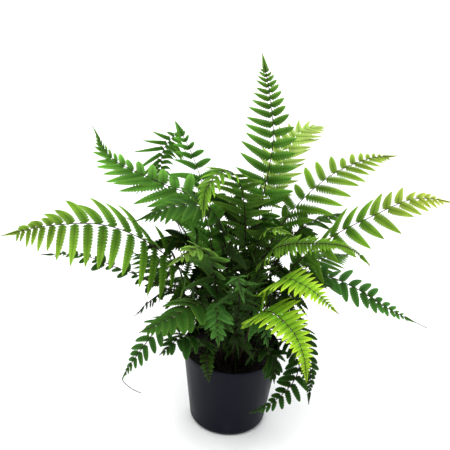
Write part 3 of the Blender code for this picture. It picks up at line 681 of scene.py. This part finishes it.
def turned(profile, sides, lift=None):
    """Points and faces of a profile of (radius, height) turned about Z; its outer side runs upwards."""
    points = []
    rings = []
    for radius, height in profile:
        ring = []
        for cosine, sine in circle(sides if radius else 1):
            x, y = radius * cosine, radius * sine
            ring.append(len(points))
            points.append((x, y, height + (lift(x, y, height) if lift else 0.0)))
        rings.append(ring if radius else ring * sides)
    faces = []
    for low, high in zip(rings, rings[1:]):
        for step in range(sides):
            after = (step + 1) % sides
            corners = (low[step], low[after], high[after], high[step])
            faces.append(tuple(dict.fromkeys(corners)))
    return points, faces


def wall_radius(height):
    return POT_BASE_RADIUS + (POT_RIM_RADIUS - POT_BASE_RADIUS) * height / POT_HEIGHT


def foot_arc(radius, corner, bottom):
    arc = []
    for step in range(FOOT_STEPS + 1):
        angle = 0.5 * math.pi * step / FOOT_STEPS
        arc.append((radius - corner + corner * math.sin(angle), bottom + corner * (1 - math.cos(angle))))
    return arc


def make_pot(finish):
    """A thin tapering shell with a rounded foot, a softened rim and drain holes."""
    outer = foot_arc(wall_radius(POT_FOOT_ROUND), POT_FOOT_ROUND, 0.0)
    inner = foot_arc(wall_radius(POT_FOOT_ROUND) - POT_WALL, POT_FOOT_ROUND - POT_FLOOR, POT_FLOOR)
    middle = wall_radius(POT_HEIGHT) - 0.5 * POT_WALL
    rim = []
    for step in range(LIP_STEPS + 1):
        angle = math.pi * step / LIP_STEPS
        height = POT_HEIGHT - POT_LIP + POT_LIP * math.sin(angle)
        rim.append((middle + 0.5 * POT_WALL * math.cos(angle), height))
    walls = [(wall_radius(height), height) for height in np.linspace(WALL_LOWEST, WALL_HIGHEST, WALL_RINGS)]
    inside = [(radius - POT_WALL, height) for radius, height in reversed(walls)]
    profile = [(0, 0.0), *outer, *walls, *rim, *inside, *reversed(inner), (0, POT_FLOOR)]
    pot = make_object("pot_shell", Heap(*turned(profile, POT_SIDES)), [finish])
    cutters = []
    for cosine, sine in circle(DRAIN_HOLES, 0.5):
        place = (DRAIN_RING * cosine, DRAIN_RING * sine, 0.0)
        bpy.ops.mesh.primitive_cylinder_add(vertices=DRAIN_SIDES, radius=DRAIN_RADIUS, depth=POT_FOOT_ROUND,
                                            location=place)
        cutters.append(bpy.context.object)
        boolean = pot.modifiers.new("drain", "BOOLEAN")
        boolean.operation = "DIFFERENCE"
        boolean.object = cutters[-1]
    graph = bpy.context.evaluated_depsgraph_get()
    result = bpy.data.meshes.new_from_object(pot.evaluated_get(graph))
    pot.modifiers.clear()
    pot.data = result
    for cutter in cutters:
        bpy.data.objects.remove(cutter, do_unlink=True)
    smooth(result, angle=35)
    settle_piece(pot, "pot")


def make_soil(compost, bark):
    """Compost with a crumbly top, and chips of bark lying in it."""
    draw = random.Random(SEED)
    bumps = [(draw.uniform(-1, 1) * CRUMB_PITCH, draw.uniform(-1, 1) * CRUMB_PITCH, draw.uniform(0, 6.3))
             for _ in range(CRUMB_WAVES)]

    def crumble(x, y, height):
        if height < SOIL_LEVEL:
            return 0.0
        waves = sum(math.sin(a * x + b * y + c) for a, b, c in bumps)
        return CRUMBS * waves + SOIL_SWELL * math.sin(55 * x + 1) * math.cos(60 * y)

    wall = POT_WALL + GAP
    floor = POT_FLOOR + GAP
    edge = wall_radius(SOIL_LEVEL) - wall
    inner = foot_arc(wall_radius(POT_FOOT_ROUND) - wall, POT_FOOT_ROUND - POT_FLOOR, floor)
    top = [(edge * (1 - (step / SOIL_RINGS) ** 1.15), SOIL_LEVEL) for step in range(SOIL_RINGS)]
    profile = [(0, floor), *inner, (edge, SOIL_LEVEL - SOIL_CHAMFER), *top, (0, SOIL_LEVEL)]
    heap = Heap(*turned(profile, SOIL_SIDES, crumble))
    for _ in range(CHIPS):
        angle = draw.uniform(0, 2 * math.pi)
        radius = edge * math.sqrt(draw.uniform(*CHIP_AREA))
        size = draw.uniform(*CHIP_SIZES)
        centre = Vector((radius * math.cos(angle), radius * math.sin(angle), SOIL_LEVEL + CHIP_LIFT))
        if centre.xy.length + size > edge:
            centre.xy *= (edge - size) / centre.xy.length
        heap.add(*chip(draw, centre, size), 1)
    settle_piece(make_object("compost", heap, [compost, bark], smooth_angle=40), "soil")


def chip(draw, centre, size):
    """An irregular flat chip: a ring of corners between a smaller top and bottom."""
    turn = Matrix.Rotation(draw.uniform(0, 6.28), 3, "Z") @ Matrix.Rotation(draw.gauss(0, 0.35), 3, "X")
    corners = draw.choice((5, 6, 7))
    stretch = draw.uniform(0.45, 0.85)
    radii = [draw.uniform(0.75, 1.1) for _ in range(corners)]
    points = []
    for share, height in ((0.72, -0.26), (1.0, 0.0), (0.75, 0.24)):
        for radius, (cosine, sine) in zip(radii, circle(corners)):
            spot = Vector((cosine * radius * share, sine * radius * share * stretch, height))
            points.append(tuple(centre + turn @ (spot * size)))
    caps = [tuple(reversed(range(corners))), tuple(range(2 * corners, 3 * corners))]
    return points, caps + band(0, corners, corners) + band(corners, 2 * corners, corners)


def scale_blade(draw, base, direction, normal, lengths, widths, curls):
    """A narrow papery scale: a closed lens-shaped blade, as points and faces."""
    length, width, curl = (draw.uniform(*between) for between in (lengths, widths, curls))
    side = direction.cross(normal).normalized()
    points = []
    for share, spread in ((0.0, 0.45), (0.35, 1.0), (0.75, 0.55)):
        middle = base + direction * length * share + normal * curl * length * share * share
        for across, rise in ((-1, 0.0), (0, SCALE_RIDGE), (1, 0.0), (0, -SCALE_KEEL)):
            points.append(tuple(middle + side * across * spread * width * 0.5 + normal * rise))
    points.append(tuple(base + direction * length + normal * curl * length))
    tip = [(8 + step, 12, 8 + (step + 1) % 4) for step in range(4)]
    return points, [(0, 1, 2, 3), *band(0, 4, 4, flip=True), *band(4, 8, 4, flip=True), *tip]


def make_crown(scales, stalk_finish):
    """The low dome of old stalk bases, covered in brown scales that point up and out."""
    draw = random.Random(SEED + 1)

    def knobs(x, y, height):
        if height <= SOIL_LEVEL:
            return 0.0
        return KNOBS * math.sin(420 * x + 90 * y) + KNOBS * math.cos(380 * y - 120 * x)

    dome = []
    for step in range(CROWN_RINGS):
        angle = 0.5 * math.pi * step / CROWN_RINGS
        dome.append((CROWN_RADIUS * math.cos(angle) ** 0.8, SOIL_LEVEL + CROWN_RISE * math.sin(angle)))
    low = SOIL_LEVEL - CROWN_SINK
    profile = [(0, low), (CROWN_RADIUS, low), *dome, (0, SOIL_LEVEL + CROWN_RISE)]
    heap = Heap(*turned(profile, CROWN_SIDES, knobs), 1)
    for _ in range(CROWN_SCALES):
        angle = draw.uniform(0, 2 * math.pi)
        radius = CROWN_RADIUS * math.sqrt(draw.uniform(*CROWN_SCALE_AREA))
        out = Vector((math.cos(angle), math.sin(angle), 0.0))
        spot = out * radius
        rise = math.sqrt(max(0.0, 1 - (radius / CROWN_RADIUS) ** 2.5))
        spot.z = SOIL_LEVEL + CROWN_RISE * rise - CROWN_SCALE_SINK
        direction = (out * draw.uniform(0.2, 1.0) + Vector((0, 0, draw.uniform(0.5, 1.1)))).normalized()
        direction = (direction + Vector((draw.gauss(0, 0.3), draw.gauss(0, 0.3), 0))).normalized()
        normal = direction.cross(Vector((-out.y, out.x, 0.0))).normalized()
        heap.add(*scale_blade(draw, spot, direction, -normal, **CROWN_SCALE))
    crown = make_object("scaly_crown", heap, [scales, stalk_finish], smooth_angle=45)
    settle_piece(crown, "crown")


# Stalks

def smooth_route(points):
    """A curve through the points: Catmull-Rom spans, the first leaving its point straight up."""
    knots = [np.array(point, float) for point in points]
    before = knots[0] - np.array((0.0, 0.0, FOOT_PULL * np.linalg.norm(knots[1] - knots[0])))
    after = 2 * knots[-1] - knots[-2]
    knots = [before, *knots, after]
    curve = []
    for a, b, c, d in zip(knots, knots[1:], knots[2:], knots[3:]):
        for step in range(CURVE_STEPS):
            s = step / CURVE_STEPS
            curve.append(0.5 * (2 * b + (c - a) * s + (2 * a - 5 * b + 4 * c - d) * s**2
                                + (3 * b - a - 3 * c + d) * s**3))
    curve.append(knots[-2])
    return np.array(curve)


def frames_along(curve, roll):
    """Tangent, side and upper directions along a curve, the side kept as level as the curve allows."""
    tangents = np.gradient(curve, axis=0)
    tangents /= np.linalg.norm(tangents, axis=1)[:, None]
    lean = curve[len(curve) // 2] - curve[0]
    side = np.array((lean[1], -lean[0], 0.0))
    side /= np.linalg.norm(side)
    sides = []
    for tangent in tangents:
        level = np.array((tangent[1], -tangent[0], 0.0))
        if level @ side < 0:
            level = -level
        side = side + LEVEL_PULL * np.linalg.norm(level) * level
        side = side - (side @ tangent) * tangent
        side /= np.linalg.norm(side)
        sides.append(side)
    sides = np.array(sides)
    uppers = np.cross(sides, tangents)
    rolled = sides * math.cos(roll) + uppers * math.sin(roll)
    return tangents, rolled, np.cross(rolled, tangents)


class Spine:
    """The stalk of a frond: a smooth curve that can be read at any length along it."""

    def __init__(self, frond):
        foot = frond.route[0]
        self.curve = smooth_route([(*foot, STALK_COLLAR), *frond.route[1:]])
        self.rows = (self.curve, *frames_along(self.curve, frond.roll))
        steps = np.linalg.norm(np.diff(self.curve, axis=0), axis=1)
        self.lengths = np.concatenate([[0.0], np.cumsum(steps)])
        self.total = self.lengths[-1]
        self.foot = np.array((*foot, STALK_FOOT))

    def at(self, length):
        """Place, tangent, side and upper direction at a length along the curve."""
        place, *directions = [np.array([np.interp(length, self.lengths, row[:, k]) for k in range(3)])
                              for row in self.rows]
        return [place, *(direction / np.linalg.norm(direction) for direction in directions)]

    def radius(self, length):
        swell = STALK_SWELL * math.exp(-length / SWELL_LENGTH)
        return STALK_RADIUS + (STALK_TIP_RADIUS - STALK_RADIUS) * (length / self.total) ** 0.8 + swell

    def tube(self, step, sides, grow=0.0):
        """Points and faces of the stalk, closed at both ends."""
        points = []
        for length in np.linspace(0.0, self.total, max(2, int(self.total / step) + 1)):
            place, _, side, upper = self.at(length)
            radius = self.radius(length) + grow
            for cosine, sine in circle(sides):
                points.append(place + (side * cosine + upper * sine) * radius)
        last = len(points) - sides
        faces = [tuple(range(sides)), tuple(reversed(range(last, len(points))))]
        for ring in range(0, last, sides):
            faces += band(ring, ring + sides, sides, flip=True)
        return points, faces


def add_stalk(heap, frond, spine):
    """The rib from inside the crown to the tip, dark at its foot."""
    points, faces = spine.tube(STALK_STEP, STALK_SIDES)
    foot = [spine.foot + (point - spine.curve[0]) for point in points[:STALK_SIDES]]
    whole = foot + points
    faces = [[corner + STALK_SIDES for corner in face] for face in faces[1:]]
    faces += [*band(0, STALK_SIDES, STALK_SIDES, flip=True), range(STALK_SIDES)]
    shares = np.repeat(np.linspace(0, 1, len(whole) // STALK_SIDES), STALK_SIDES)[:, None]
    tone = frond.look.stalk * (1 - shares**1.5) + frond.look.stalk_tip * shares**1.5
    tone *= FOOT_TONE + (1 - FOOT_TONE) * np.minimum(shares / FULL_TONE_AT, 1.0)
    heap.add(whole, faces, 2, np.c_[tone, np.ones(len(whole))].tolist())


def add_scales(heap, spine, draw):
    """Brown scales on the lower stalk, crowded at its foot and thinning upwards."""
    for _ in range(STALK_SCALES):
        along = SCALY_FROM + SCALY_LENGTH * draw.random() ** 2.2
        place, tangent, side, upper = spine.at(along)
        angle = draw.uniform(0, 2 * math.pi)
        out = Vector(side * math.cos(angle) + upper * math.sin(angle))
        direction = (Vector(tangent) + out * draw.uniform(0.15, 0.8)).normalized()
        base = Vector(place) + out * spine.radius(along) * 0.9
        normal = direction.cross(Vector(tangent).cross(out)).normalized()
        points, faces = scale_blade(draw, base, direction, normal, **STALK_SCALE)
        heap.add(points, faces, 3, [(*SCALE_TONE, 1.0)] * len(points))


# Leaflets

def profile_share(share, taper):
    """A leaflet's length as a share of the longest, from the lowest leaflet (0) to the tip (1)."""
    rising = LOWEST_LENGTH + (1 - LOWEST_LENGTH) * min(share / FULL_LENGTH_AT, 1.0)
    left = max(1 - share, 0.0) / taper
    return rising * left / (1 + left**6) ** (1 / 6)


def crowding(point):
    """How far a point is inside the plant's crowded middle, from 0 to 1."""
    near = (INNER_RADIUS - math.hypot(point[0], point[1] - INNER_BACK)) / INNER_EDGE
    low = (INNER_TOP - point[2]) / INNER_EDGE
    return min(max(near, 0.0), 1.0) * min(max(low, 0.0), 1.0)


class Leaflet:
    """A leaflet's pose: where it grows, how it leans, droops and swings, and its size."""

    def __init__(self, frond, spine, place, spacing, share, hand, waves):
        self.frond = frond
        self.hand = hand
        self.share = share
        self.waves = waves
        self.place = place
        self.centre, self.tangent, self.side, self.upper = spine.at(place)
        self.inside = inside = crowding(self.centre) * (1 - frond.calm)
        vary = LENGTH_VARIES + RAGGED_LENGTH * (frond.ragged + inside)
        full = profile_share(share, frond.taper)
        uneven = frond.lopsided ** (0.5 * hand) if frond.lopsided > 1 else frond.lopsided ** max(hand, 0)
        self.length = frond.reach * full * uneven * (1 + vary * waves[0]) * (1 - INNER_SHORTER * inside)
        room = spacing * (1 - NARROWING * full) * (1 + INNER_WIDER * inside)
        self.half_width = 0.5 * min(frond.wide * room, WIDEST * self.length)
        rising = FOOT_LEAN + (1 - FOOT_LEAN) * min(share / FULL_LEAN_AT, 1.0)
        self.lean = (frond.lean + hand * frond.skew) * rising + TIP_LEAN * share**4
        self.lean += (LEAN_VARIES + RAGGED_LEAN * frond.ragged + INNER_LEAN * inside) * waves[1]
        self.twist = SHINGLE + (RAGGED_TWIST * frond.ragged + INNER_TWIST * inside) * waves[2]
        self.blunt = frond.blunt + SHORT_BLUNTER * max(0.0, 1 - uneven)
        self.sickle = frond.sickle
        self.droop = frond.droop * (1 + DROOP_VARIES * waves[2])
        self.hang = frond.hang + INNER_HANG * inside * abs(waves[0])
        self.swing = (RAGGED_SWING * frond.ragged + INNER_SWING * inside) * waves[3]

    def pose(self, swing, size):
        """Sets the midrib's directions for a swing about the stalk, and its length."""
        swing += self.swing
        self.long = self.length * size
        self.out = self.hand * self.side * math.cos(swing) + self.upper * math.sin(swing)
        self.face = self.upper * math.cos(swing) - self.hand * self.side * math.sin(swing)

    def spread(self, along):
        """The half-width at shares along the midrib: broad near the stalk, tapering to the tip."""
        rising = FOOT_WIDTH + (1 - FOOT_WIDTH) * np.clip(along / FULL_WIDTH_AT, 0, 1)
        return self.half_width * rising * (1 - along ** (1.5 + 2.0 * self.blunt)) ** (0.95 - 0.4 * self.blunt)

    def midrib(self, along):
        """Points of the midrib at shares along it; the more a leaflet points up, the less it hangs."""
        lean = self.lean
        angle = lean + self.sickle * along
        forward = along * (np.sin(lean) + 0.5 * (np.sin(angle) - np.sin(lean)))
        outward = along * (np.cos(lean) + 0.5 * (np.cos(angle) - np.cos(lean)))
        points = self.centre + self.long * (np.outer(outward, self.out) + np.outer(forward, self.tangent)
                                            - np.outer(self.droop * along**2, self.face))
        slack = min(max(0.8 - 1.3 * self.out[2], 0.1), 1.4)
        points[:, 2] -= self.long * self.hang * slack * along**2
        return points

    def edge_axis(self):
        """The direction across the blade, towards the frond's tip."""
        lean = self.lean + 0.4 * self.sickle
        level = self.tangent * math.cos(lean) - self.out * math.sin(lean)
        return level * math.cos(self.twist) + self.face * math.sin(self.twist)

    def strip(self, lift):
        """A coarse closed slab on the blade, used to find what it would meet."""
        along = np.array(STRIP_STATIONS)
        middle = self.midrib(np.append(along, 1.0))
        across = np.outer(self.spread(along), self.edge_axis())
        ring = [*(middle[:3] + across), middle[3], *(middle[:3] - across)[::-1]]
        points = [corner + self.face * side for side in (lift, -lift) for corner in ring]
        faces = []
        for low in (0, 7):
            faces += [(low, low + 1, low + 5, low + 6), (low + 1, low + 2, low + 4, low + 5),
                      (low + 2, low + 3, low + 4)]
        return points, faces + band(0, 7, 7)


def end_leaflet(frond, spine, place):
    """The lobed tip that ends a frond, growing straight on from the stalk."""
    leaflet = Leaflet(frond, spine, place, spacing=0.0, share=END_SHARE, hand=1, waves=(0.0,) * 4)
    leaflet.length = spine.total * (1 - frond.tail) - place
    leaflet.half_width = frond.spike * (END_WIDTH + END_WIDTH_SHARE * leaflet.length)
    leaflet.blunt = END_BLUNT
    leaflet.side, leaflet.tangent = leaflet.tangent, -leaflet.side
    leaflet.twist = leaflet.lean = leaflet.sickle = leaflet.droop = leaflet.hang = 0.0
    leaflet.pose(0.0, 1.0)
    return leaflet


def grow_leaflets(frond, spine, draw):
    """The frond's leaflets, from the lowest pair to the tip."""
    start = frond.bare * spine.total
    blade = spine.total * (1 - frond.tail) - start
    leaflets = []
    reached = start
    while True:
        share = (reached - start) / blade
        spacing = SPACING_FIRST * min(frond.open, 1.0)
        spacing += frond.open * SPACING_SHARE * frond.reach * profile_share(share, frond.taper)
        spacing *= 1 - INNER_DENSER * crowding(spine.at(reached)[0]) * (1 - frond.calm)
        if share > PAIRS_END - spacing / blade:
            return leaflets
        for hand in (1, -1):
            shift = ROW_STAGGER * hand + RAGGED_PLACE * frond.ragged * draw.uniform(-1, 1)
            place = reached + 0.5 * spacing + shift * spacing
            waves = [draw.uniform(-1, 1) for _ in range(4)]
            leaflets.append(Leaflet(frond, spine, place, spacing, (place - start) / blade, hand, waves))
        reached += spacing


class Obstacle:
    """What a blade, a stalk or the rim takes up, as a search tree and its box."""

    def __init__(self, points, faces):
        self.tree = BVHTree.FromPolygons([Vector(point) for point in points], faces)
        self.low = np.min(points, axis=0)
        self.high = np.max(points, axis=0)

    def meets(self, other):
        if (other.low > self.high).any() or (other.high < self.low).any():
            return False
        return bool(self.tree.overlap(other.tree))


def clear_leaflets(leaflets, rim, others):
    """Swings or shortens each leaflet until it is clear, and returns the ones that found room.

    Leaflets in the crowded middle and on very ragged fronds have only the pot's rim to clear.
    """
    kept = []
    for leaflet in leaflets:
        crowded = leaflet.inside > CROWDED or leaflet.frond.ragged > RAGGED
        near = [rim] if crowded else [rim, *others]
        for size, swing in itertools.product(SIZES, SWINGS):
            leaflet.pose(math.radians(swing), size)
            body = Obstacle(*leaflet.strip(STRIP_ROOM))
            if not any(other.meets(body) for other in near):
                kept.append(leaflet)
                break
    return kept


def blade_stations(leaflet):
    """Shares along the midrib, the lobe each belongs to, and how far the edge reaches there (0 to 1)."""
    lobes = min(max(int(round(leaflet.long / LOBE_PITCH)), FEWEST_LOBES), MOST_LOBES)
    depth = leaflet.frond.depth * (1.45 - leaflet.share) + INNER_CUT * leaflet.inside
    shape = COARSE_LOBE if leaflet.inside > COARSE_FROM else LOBE
    along = [0.0, FOOT_END]
    phase = [0.0, 0.0]
    reach = [0.0, FOOT_REACH]
    for lobe in range(lobes):
        low, high = (LOBES_FROM + (1 - LOBES_FROM) * (end / lobes) ** LOBES_CROWD for end in (lobe, lobe + 1))
        cut = min(DEEPEST_CUT, depth * (1.45 - 1.15 * low) + LEAST_CUT)
        for part, cut_share in shape:
            along.append(low + (high - low) * part)
            phase.append(lobe + part)
            reach.append(1 - cut_share * cut)
    along.append(1.0)
    phase.append(float(lobes))
    reach.append(TIP_REACH)
    return np.array(along), np.array(phase), np.array(reach), lobes


def blade_tones(leaflet, along):
    """The blade's colours at shares along it: dark by the stalk, fresher to the tip, and darkened with
    painted shade in the plant's crowded middle.
    """
    frond = leaflet.frond
    grown = leaflet.share**1.2
    mix = np.clip((0.03 + 0.22 * grown) + (0.52 + 0.50 * grown) * along**1.3, 0, 1)[:, None]
    # Leaflets in the crowded middle get painted shade, duller and darker, unless drawn as sunlit
    shaded = leaflet.inside * (0.0 if leaflet.waves[2] > SUNLIT else 1.0)
    mix = mix * (1 - INNER_SHADE_MUTING * shaded)
    # The frond's shade is partly painted light and shade for where it stands in the plant
    shift = (1 + 0.10 * leaflet.waves[0]) * frond.shade
    tone = (frond.look.green * (1 - mix) + frond.look.tip * mix) * shift * (1 - INNER_SHADE * shaded)
    gold = frond.gold * max(0.0, leaflet.share - GOLD_FROM) / (1 - GOLD_FROM) * (0.4 + 0.6 * along[:, None])
    tone = tone * (1 - gold) + GOLD * gold
    return np.c_[tone, np.ones(len(along))]


def add_blade(heap, leaflet):
    """A leaflet's blade, folded along its midrib and pillowed between its veins.

    Each station has six points: far edge, far middle, midrib top, near middle, near edge, midrib underside.
    """
    along, phase, reach, lobes = blade_stations(leaflet)
    middle = leaflet.midrib(along)
    axis = leaflet.edge_axis()
    heading = np.gradient(middle, axis=0)
    heading /= np.linalg.norm(heading, axis=1)[:, None]
    axis = axis[None, :] - heading * (heading @ axis)[:, None]
    axis /= np.linalg.norm(axis, axis=1)[:, None]
    up = np.cross(heading, axis) * leaflet.hand
    up *= np.sign(np.sum(up * leaflet.face, axis=1))[:, None]
    whole = leaflet.spread(along)
    wide = np.maximum(whole * reach, LEAST_HALF_WIDTH)
    smoother = np.maximum(whole * (1 - (1 - reach) * (1 - SMOOTHER_TIP * along)), LEAST_HALF_WIDTH)
    ahead = TOOTH_LEAN * (leaflet.long / lobes) * (reach - TOOTH_PIVOT)
    ahead[:2] = 0.0
    ahead[-1] = 0.0
    fold = FOLD + FOLD_VARIES * leaflet.waves[1]
    pillow = PILLOW * leaflet.half_width * (2 * reach - 1.1) * np.sin(np.pi * np.clip(along, 0, 1)) ** 0.5
    ear = 1 + EAR * np.exp(-((along - EAR_PLACE) / EAR_PLACE) ** 2)
    flat = np.zeros_like(along)
    groove = flat - GROOVE * leaflet.half_width

    def column(across, rise, forward):
        edge = np.where(across > 0, smoother, wide)
        return middle + axis * (across * edge)[:, None] + up * rise[:, None] + heading * forward[:, None]

    halfway = pillow - HALFWAY_FOLD * fold * wide + LEAF_HALF_THICKNESS
    columns = (
        column(ear, -fold * wide, ahead),
        column(HALFWAY * ear, halfway, 0.5 * ahead),
        column(0.0, groove + LEAF_HALF_THICKNESS, flat),
        column(-HALFWAY, halfway, 0.5 * ahead),
        column(-1.0, -fold * wide, ahead),
        column(0.0, groove - 2 * LEAF_HALF_THICKNESS, flat),
    )
    points = np.stack(columns, axis=1).reshape(-1, 3)
    count, sides = len(along), len(columns)
    rings = sides * np.arange(count - 1)[:, None]
    faces = []
    for first in range(sides):
        after = (first + 1) % sides
        corners = [rings + first, rings + after, rings + sides + after, rings + sides + first]
        if leaflet.hand < 0:
            corners.reverse()
        faces.extend(np.concatenate(corners, axis=1).tolist())
    ends = [list(range(sides)), list(range(sides * (count - 1), sides * count))]
    ends[0 if leaflet.hand > 0 else 1].reverse()
    # Four strips are the upper skin and two the underside
    indices = [0] * (4 * (count - 1)) + [1] * (2 * (count - 1)) + [0, 0]
    across = np.tile((1.0, HALFWAY, 0.0, -HALFWAY, -1.0, 0.0), count)
    places = np.stack([np.repeat(phase, sides), across, np.repeat(along, sides)], axis=1)
    tones = np.repeat(blade_tones(leaflet, along), sides, axis=0)
    heap.add(points.tolist(), faces + ends, indices, tones.tolist(), places.tolist())


# Fronds

def make_frond(frond, spine, leaflets, finishes, draw):
    """The frond's stalk, scales and leaflets as one piece, with the tones and places that its skin reads."""
    heap = Heap()
    add_stalk(heap, frond, spine)
    add_scales(heap, spine, draw)
    for leaflet in (*leaflets, end_leaflet(frond, spine, max(one.place for one in leaflets))):
        add_blade(heap, leaflet)
    piece = make_object(frond.name + "_leafy", heap, finishes, smooth_angle=60)
    tone = piece.data.attributes.new("tone", "FLOAT_COLOR", "POINT")
    tone.data.foreach_set("color", np.array(heap.tones, np.float32).ravel())
    blade = piece.data.attributes.new("blade", "FLOAT_VECTOR", "POINT")
    blade.data.foreach_set("vector", np.array(heap.blades, np.float32).ravel())
    settle_piece(piece, frond.name)


def make_fronds(stalk_finish, scales):
    """Grows the fronds one after another, so that each can keep clear of those before it."""
    finishes = {}
    for look in (DARK, MIDDLE, LIGHT, LIME):
        upper = leaf_material(look.slot + "_upper", 0.0, 0.03)
        under = leaf_material(look.slot + "_under", 0.10, 0.02)
        finishes[look.slot] = [upper, under, stalk_finish, scales]
    spines = {frond.name: Spine(frond) for frond in FRONDS}
    stalks = {name: Obstacle(*spine.tube(COARSE_STALK_STEP, COARSE_STALK_SIDES, STALK_ROOM))
              for name, spine in spines.items()}
    rim = Obstacle(*turned([(POT_BASE_RADIUS, 0.0), (POT_RIM_RADIUS + RIM_ROOM, POT_HEIGHT),
                            (POT_RIM_RADIUS - 2 * RIM_ROOM, POT_HEIGHT), (POT_BASE_RADIUS, COARSE_RIM_FOOT)],
                           COARSE_RIM_SIDES))
    settled = []
    for frond in FRONDS:
        draw = random.Random(f"{frond.name} {SEED}")
        spine = spines[frond.name]
        others = settled + [stalk for name, stalk in stalks.items() if name != frond.name]
        kept = clear_leaflets(grow_leaflets(frond, spine, draw), rim, others)
        heap = Heap()
        for leaflet in kept:
            heap.add(*leaflet.strip(STRIP_HALF_THICKNESS))
        settled.append(Obstacle(heap.points, heap.faces))
        make_frond(frond, spine, kept, finishes[frond.look.slot], draw)


# Camera, floor and light

def make_camera():
    """The photograph's view: from the front and above, turned a little about its own axis."""
    camera = add_object("camera", bpy.data.cameras.new("camera"))
    camera.data.sensor_width = SENSOR
    camera.data.lens = FOCAL_PIXELS / FRAME_PIXELS * SENSOR
    forward = Vector((0, math.cos(ELEVATION), -math.sin(ELEVATION)))
    right = Vector((1, 0, 0))
    up = right.cross(forward)
    across = right * math.cos(CAMERA_ROLL) + up * math.sin(CAMERA_ROLL)
    upright = up * math.cos(CAMERA_ROLL) - right * math.sin(CAMERA_ROLL)
    turn = Matrix((across, upright, -forward)).transposed()
    camera.matrix_world = Matrix.Translation(AIM - forward * DISTANCE) @ turn.to_4x4()
    bpy.context.scene.camera = camera


def make_floor():
    corners = [(FLOOR_HALF * x, FLOOR_HALF * y, FLOOR_LEVEL) for x, y in ((-1, -1), (1, -1), (1, 1), (-1, 1))]
    make_object("floor", Heap(corners, [(0, 1, 2, 3)]), [floor_material()])


def area_light(name, place, aim, size, power, colour):
    lamp = bpy.data.lights.new(name, "AREA")
    lamp.shape = "DISK"
    lamp.size = size
    lamp.energy = power
    lamp.color = colour
    made = add_object(name, lamp)
    made.location = place
    made.rotation_euler = (Vector(aim) - Vector(place)).to_track_quat("-Z", "Y").to_euler()


def make_light():
    """Broad soft light from above and in front, and a white surround."""
    area_light("key", (-0.5, -0.8, 2.6), aim=(0, 0, 0.25), size=2.4, power=95.0, colour=(1.0, 0.995, 0.98))
    area_light("fill", (1.6, -1.2, 1.9), aim=(0, 0, 0.25), size=1.8, power=12.0, colour=(0.96, 0.98, 1.0))
    area_light("back", (0.3, 2.6, 2.6), aim=(0, 0.6, 0.1), size=3.0, power=90.0, colour=(1.0, 1.0, 1.0))
    world = bpy.data.worlds.new("surround")
    bpy.context.scene.world = world
    world.use_nodes = True
    background = world.node_tree.nodes["Background"]
    background.inputs["Color"].default_value = SKY
    background.inputs["Strength"].default_value = SKY_STRENGTH
    bpy.context.scene.view_settings.view_transform = "Standard"


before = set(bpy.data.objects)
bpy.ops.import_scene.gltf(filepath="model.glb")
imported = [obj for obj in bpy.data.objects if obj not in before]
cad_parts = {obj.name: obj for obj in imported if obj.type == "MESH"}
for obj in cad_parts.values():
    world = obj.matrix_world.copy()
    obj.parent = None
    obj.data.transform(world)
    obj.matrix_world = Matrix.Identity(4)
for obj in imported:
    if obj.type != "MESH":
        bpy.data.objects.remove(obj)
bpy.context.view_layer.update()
make_camera()
make_floor()
make_light()
stalk_finish = stalk_material()
scales = scale_material()
make_pot(pot_material())
make_soil(compost_material(), bark_material())
make_crown(scales, stalk_finish)
make_fronds(stalk_finish, scales)
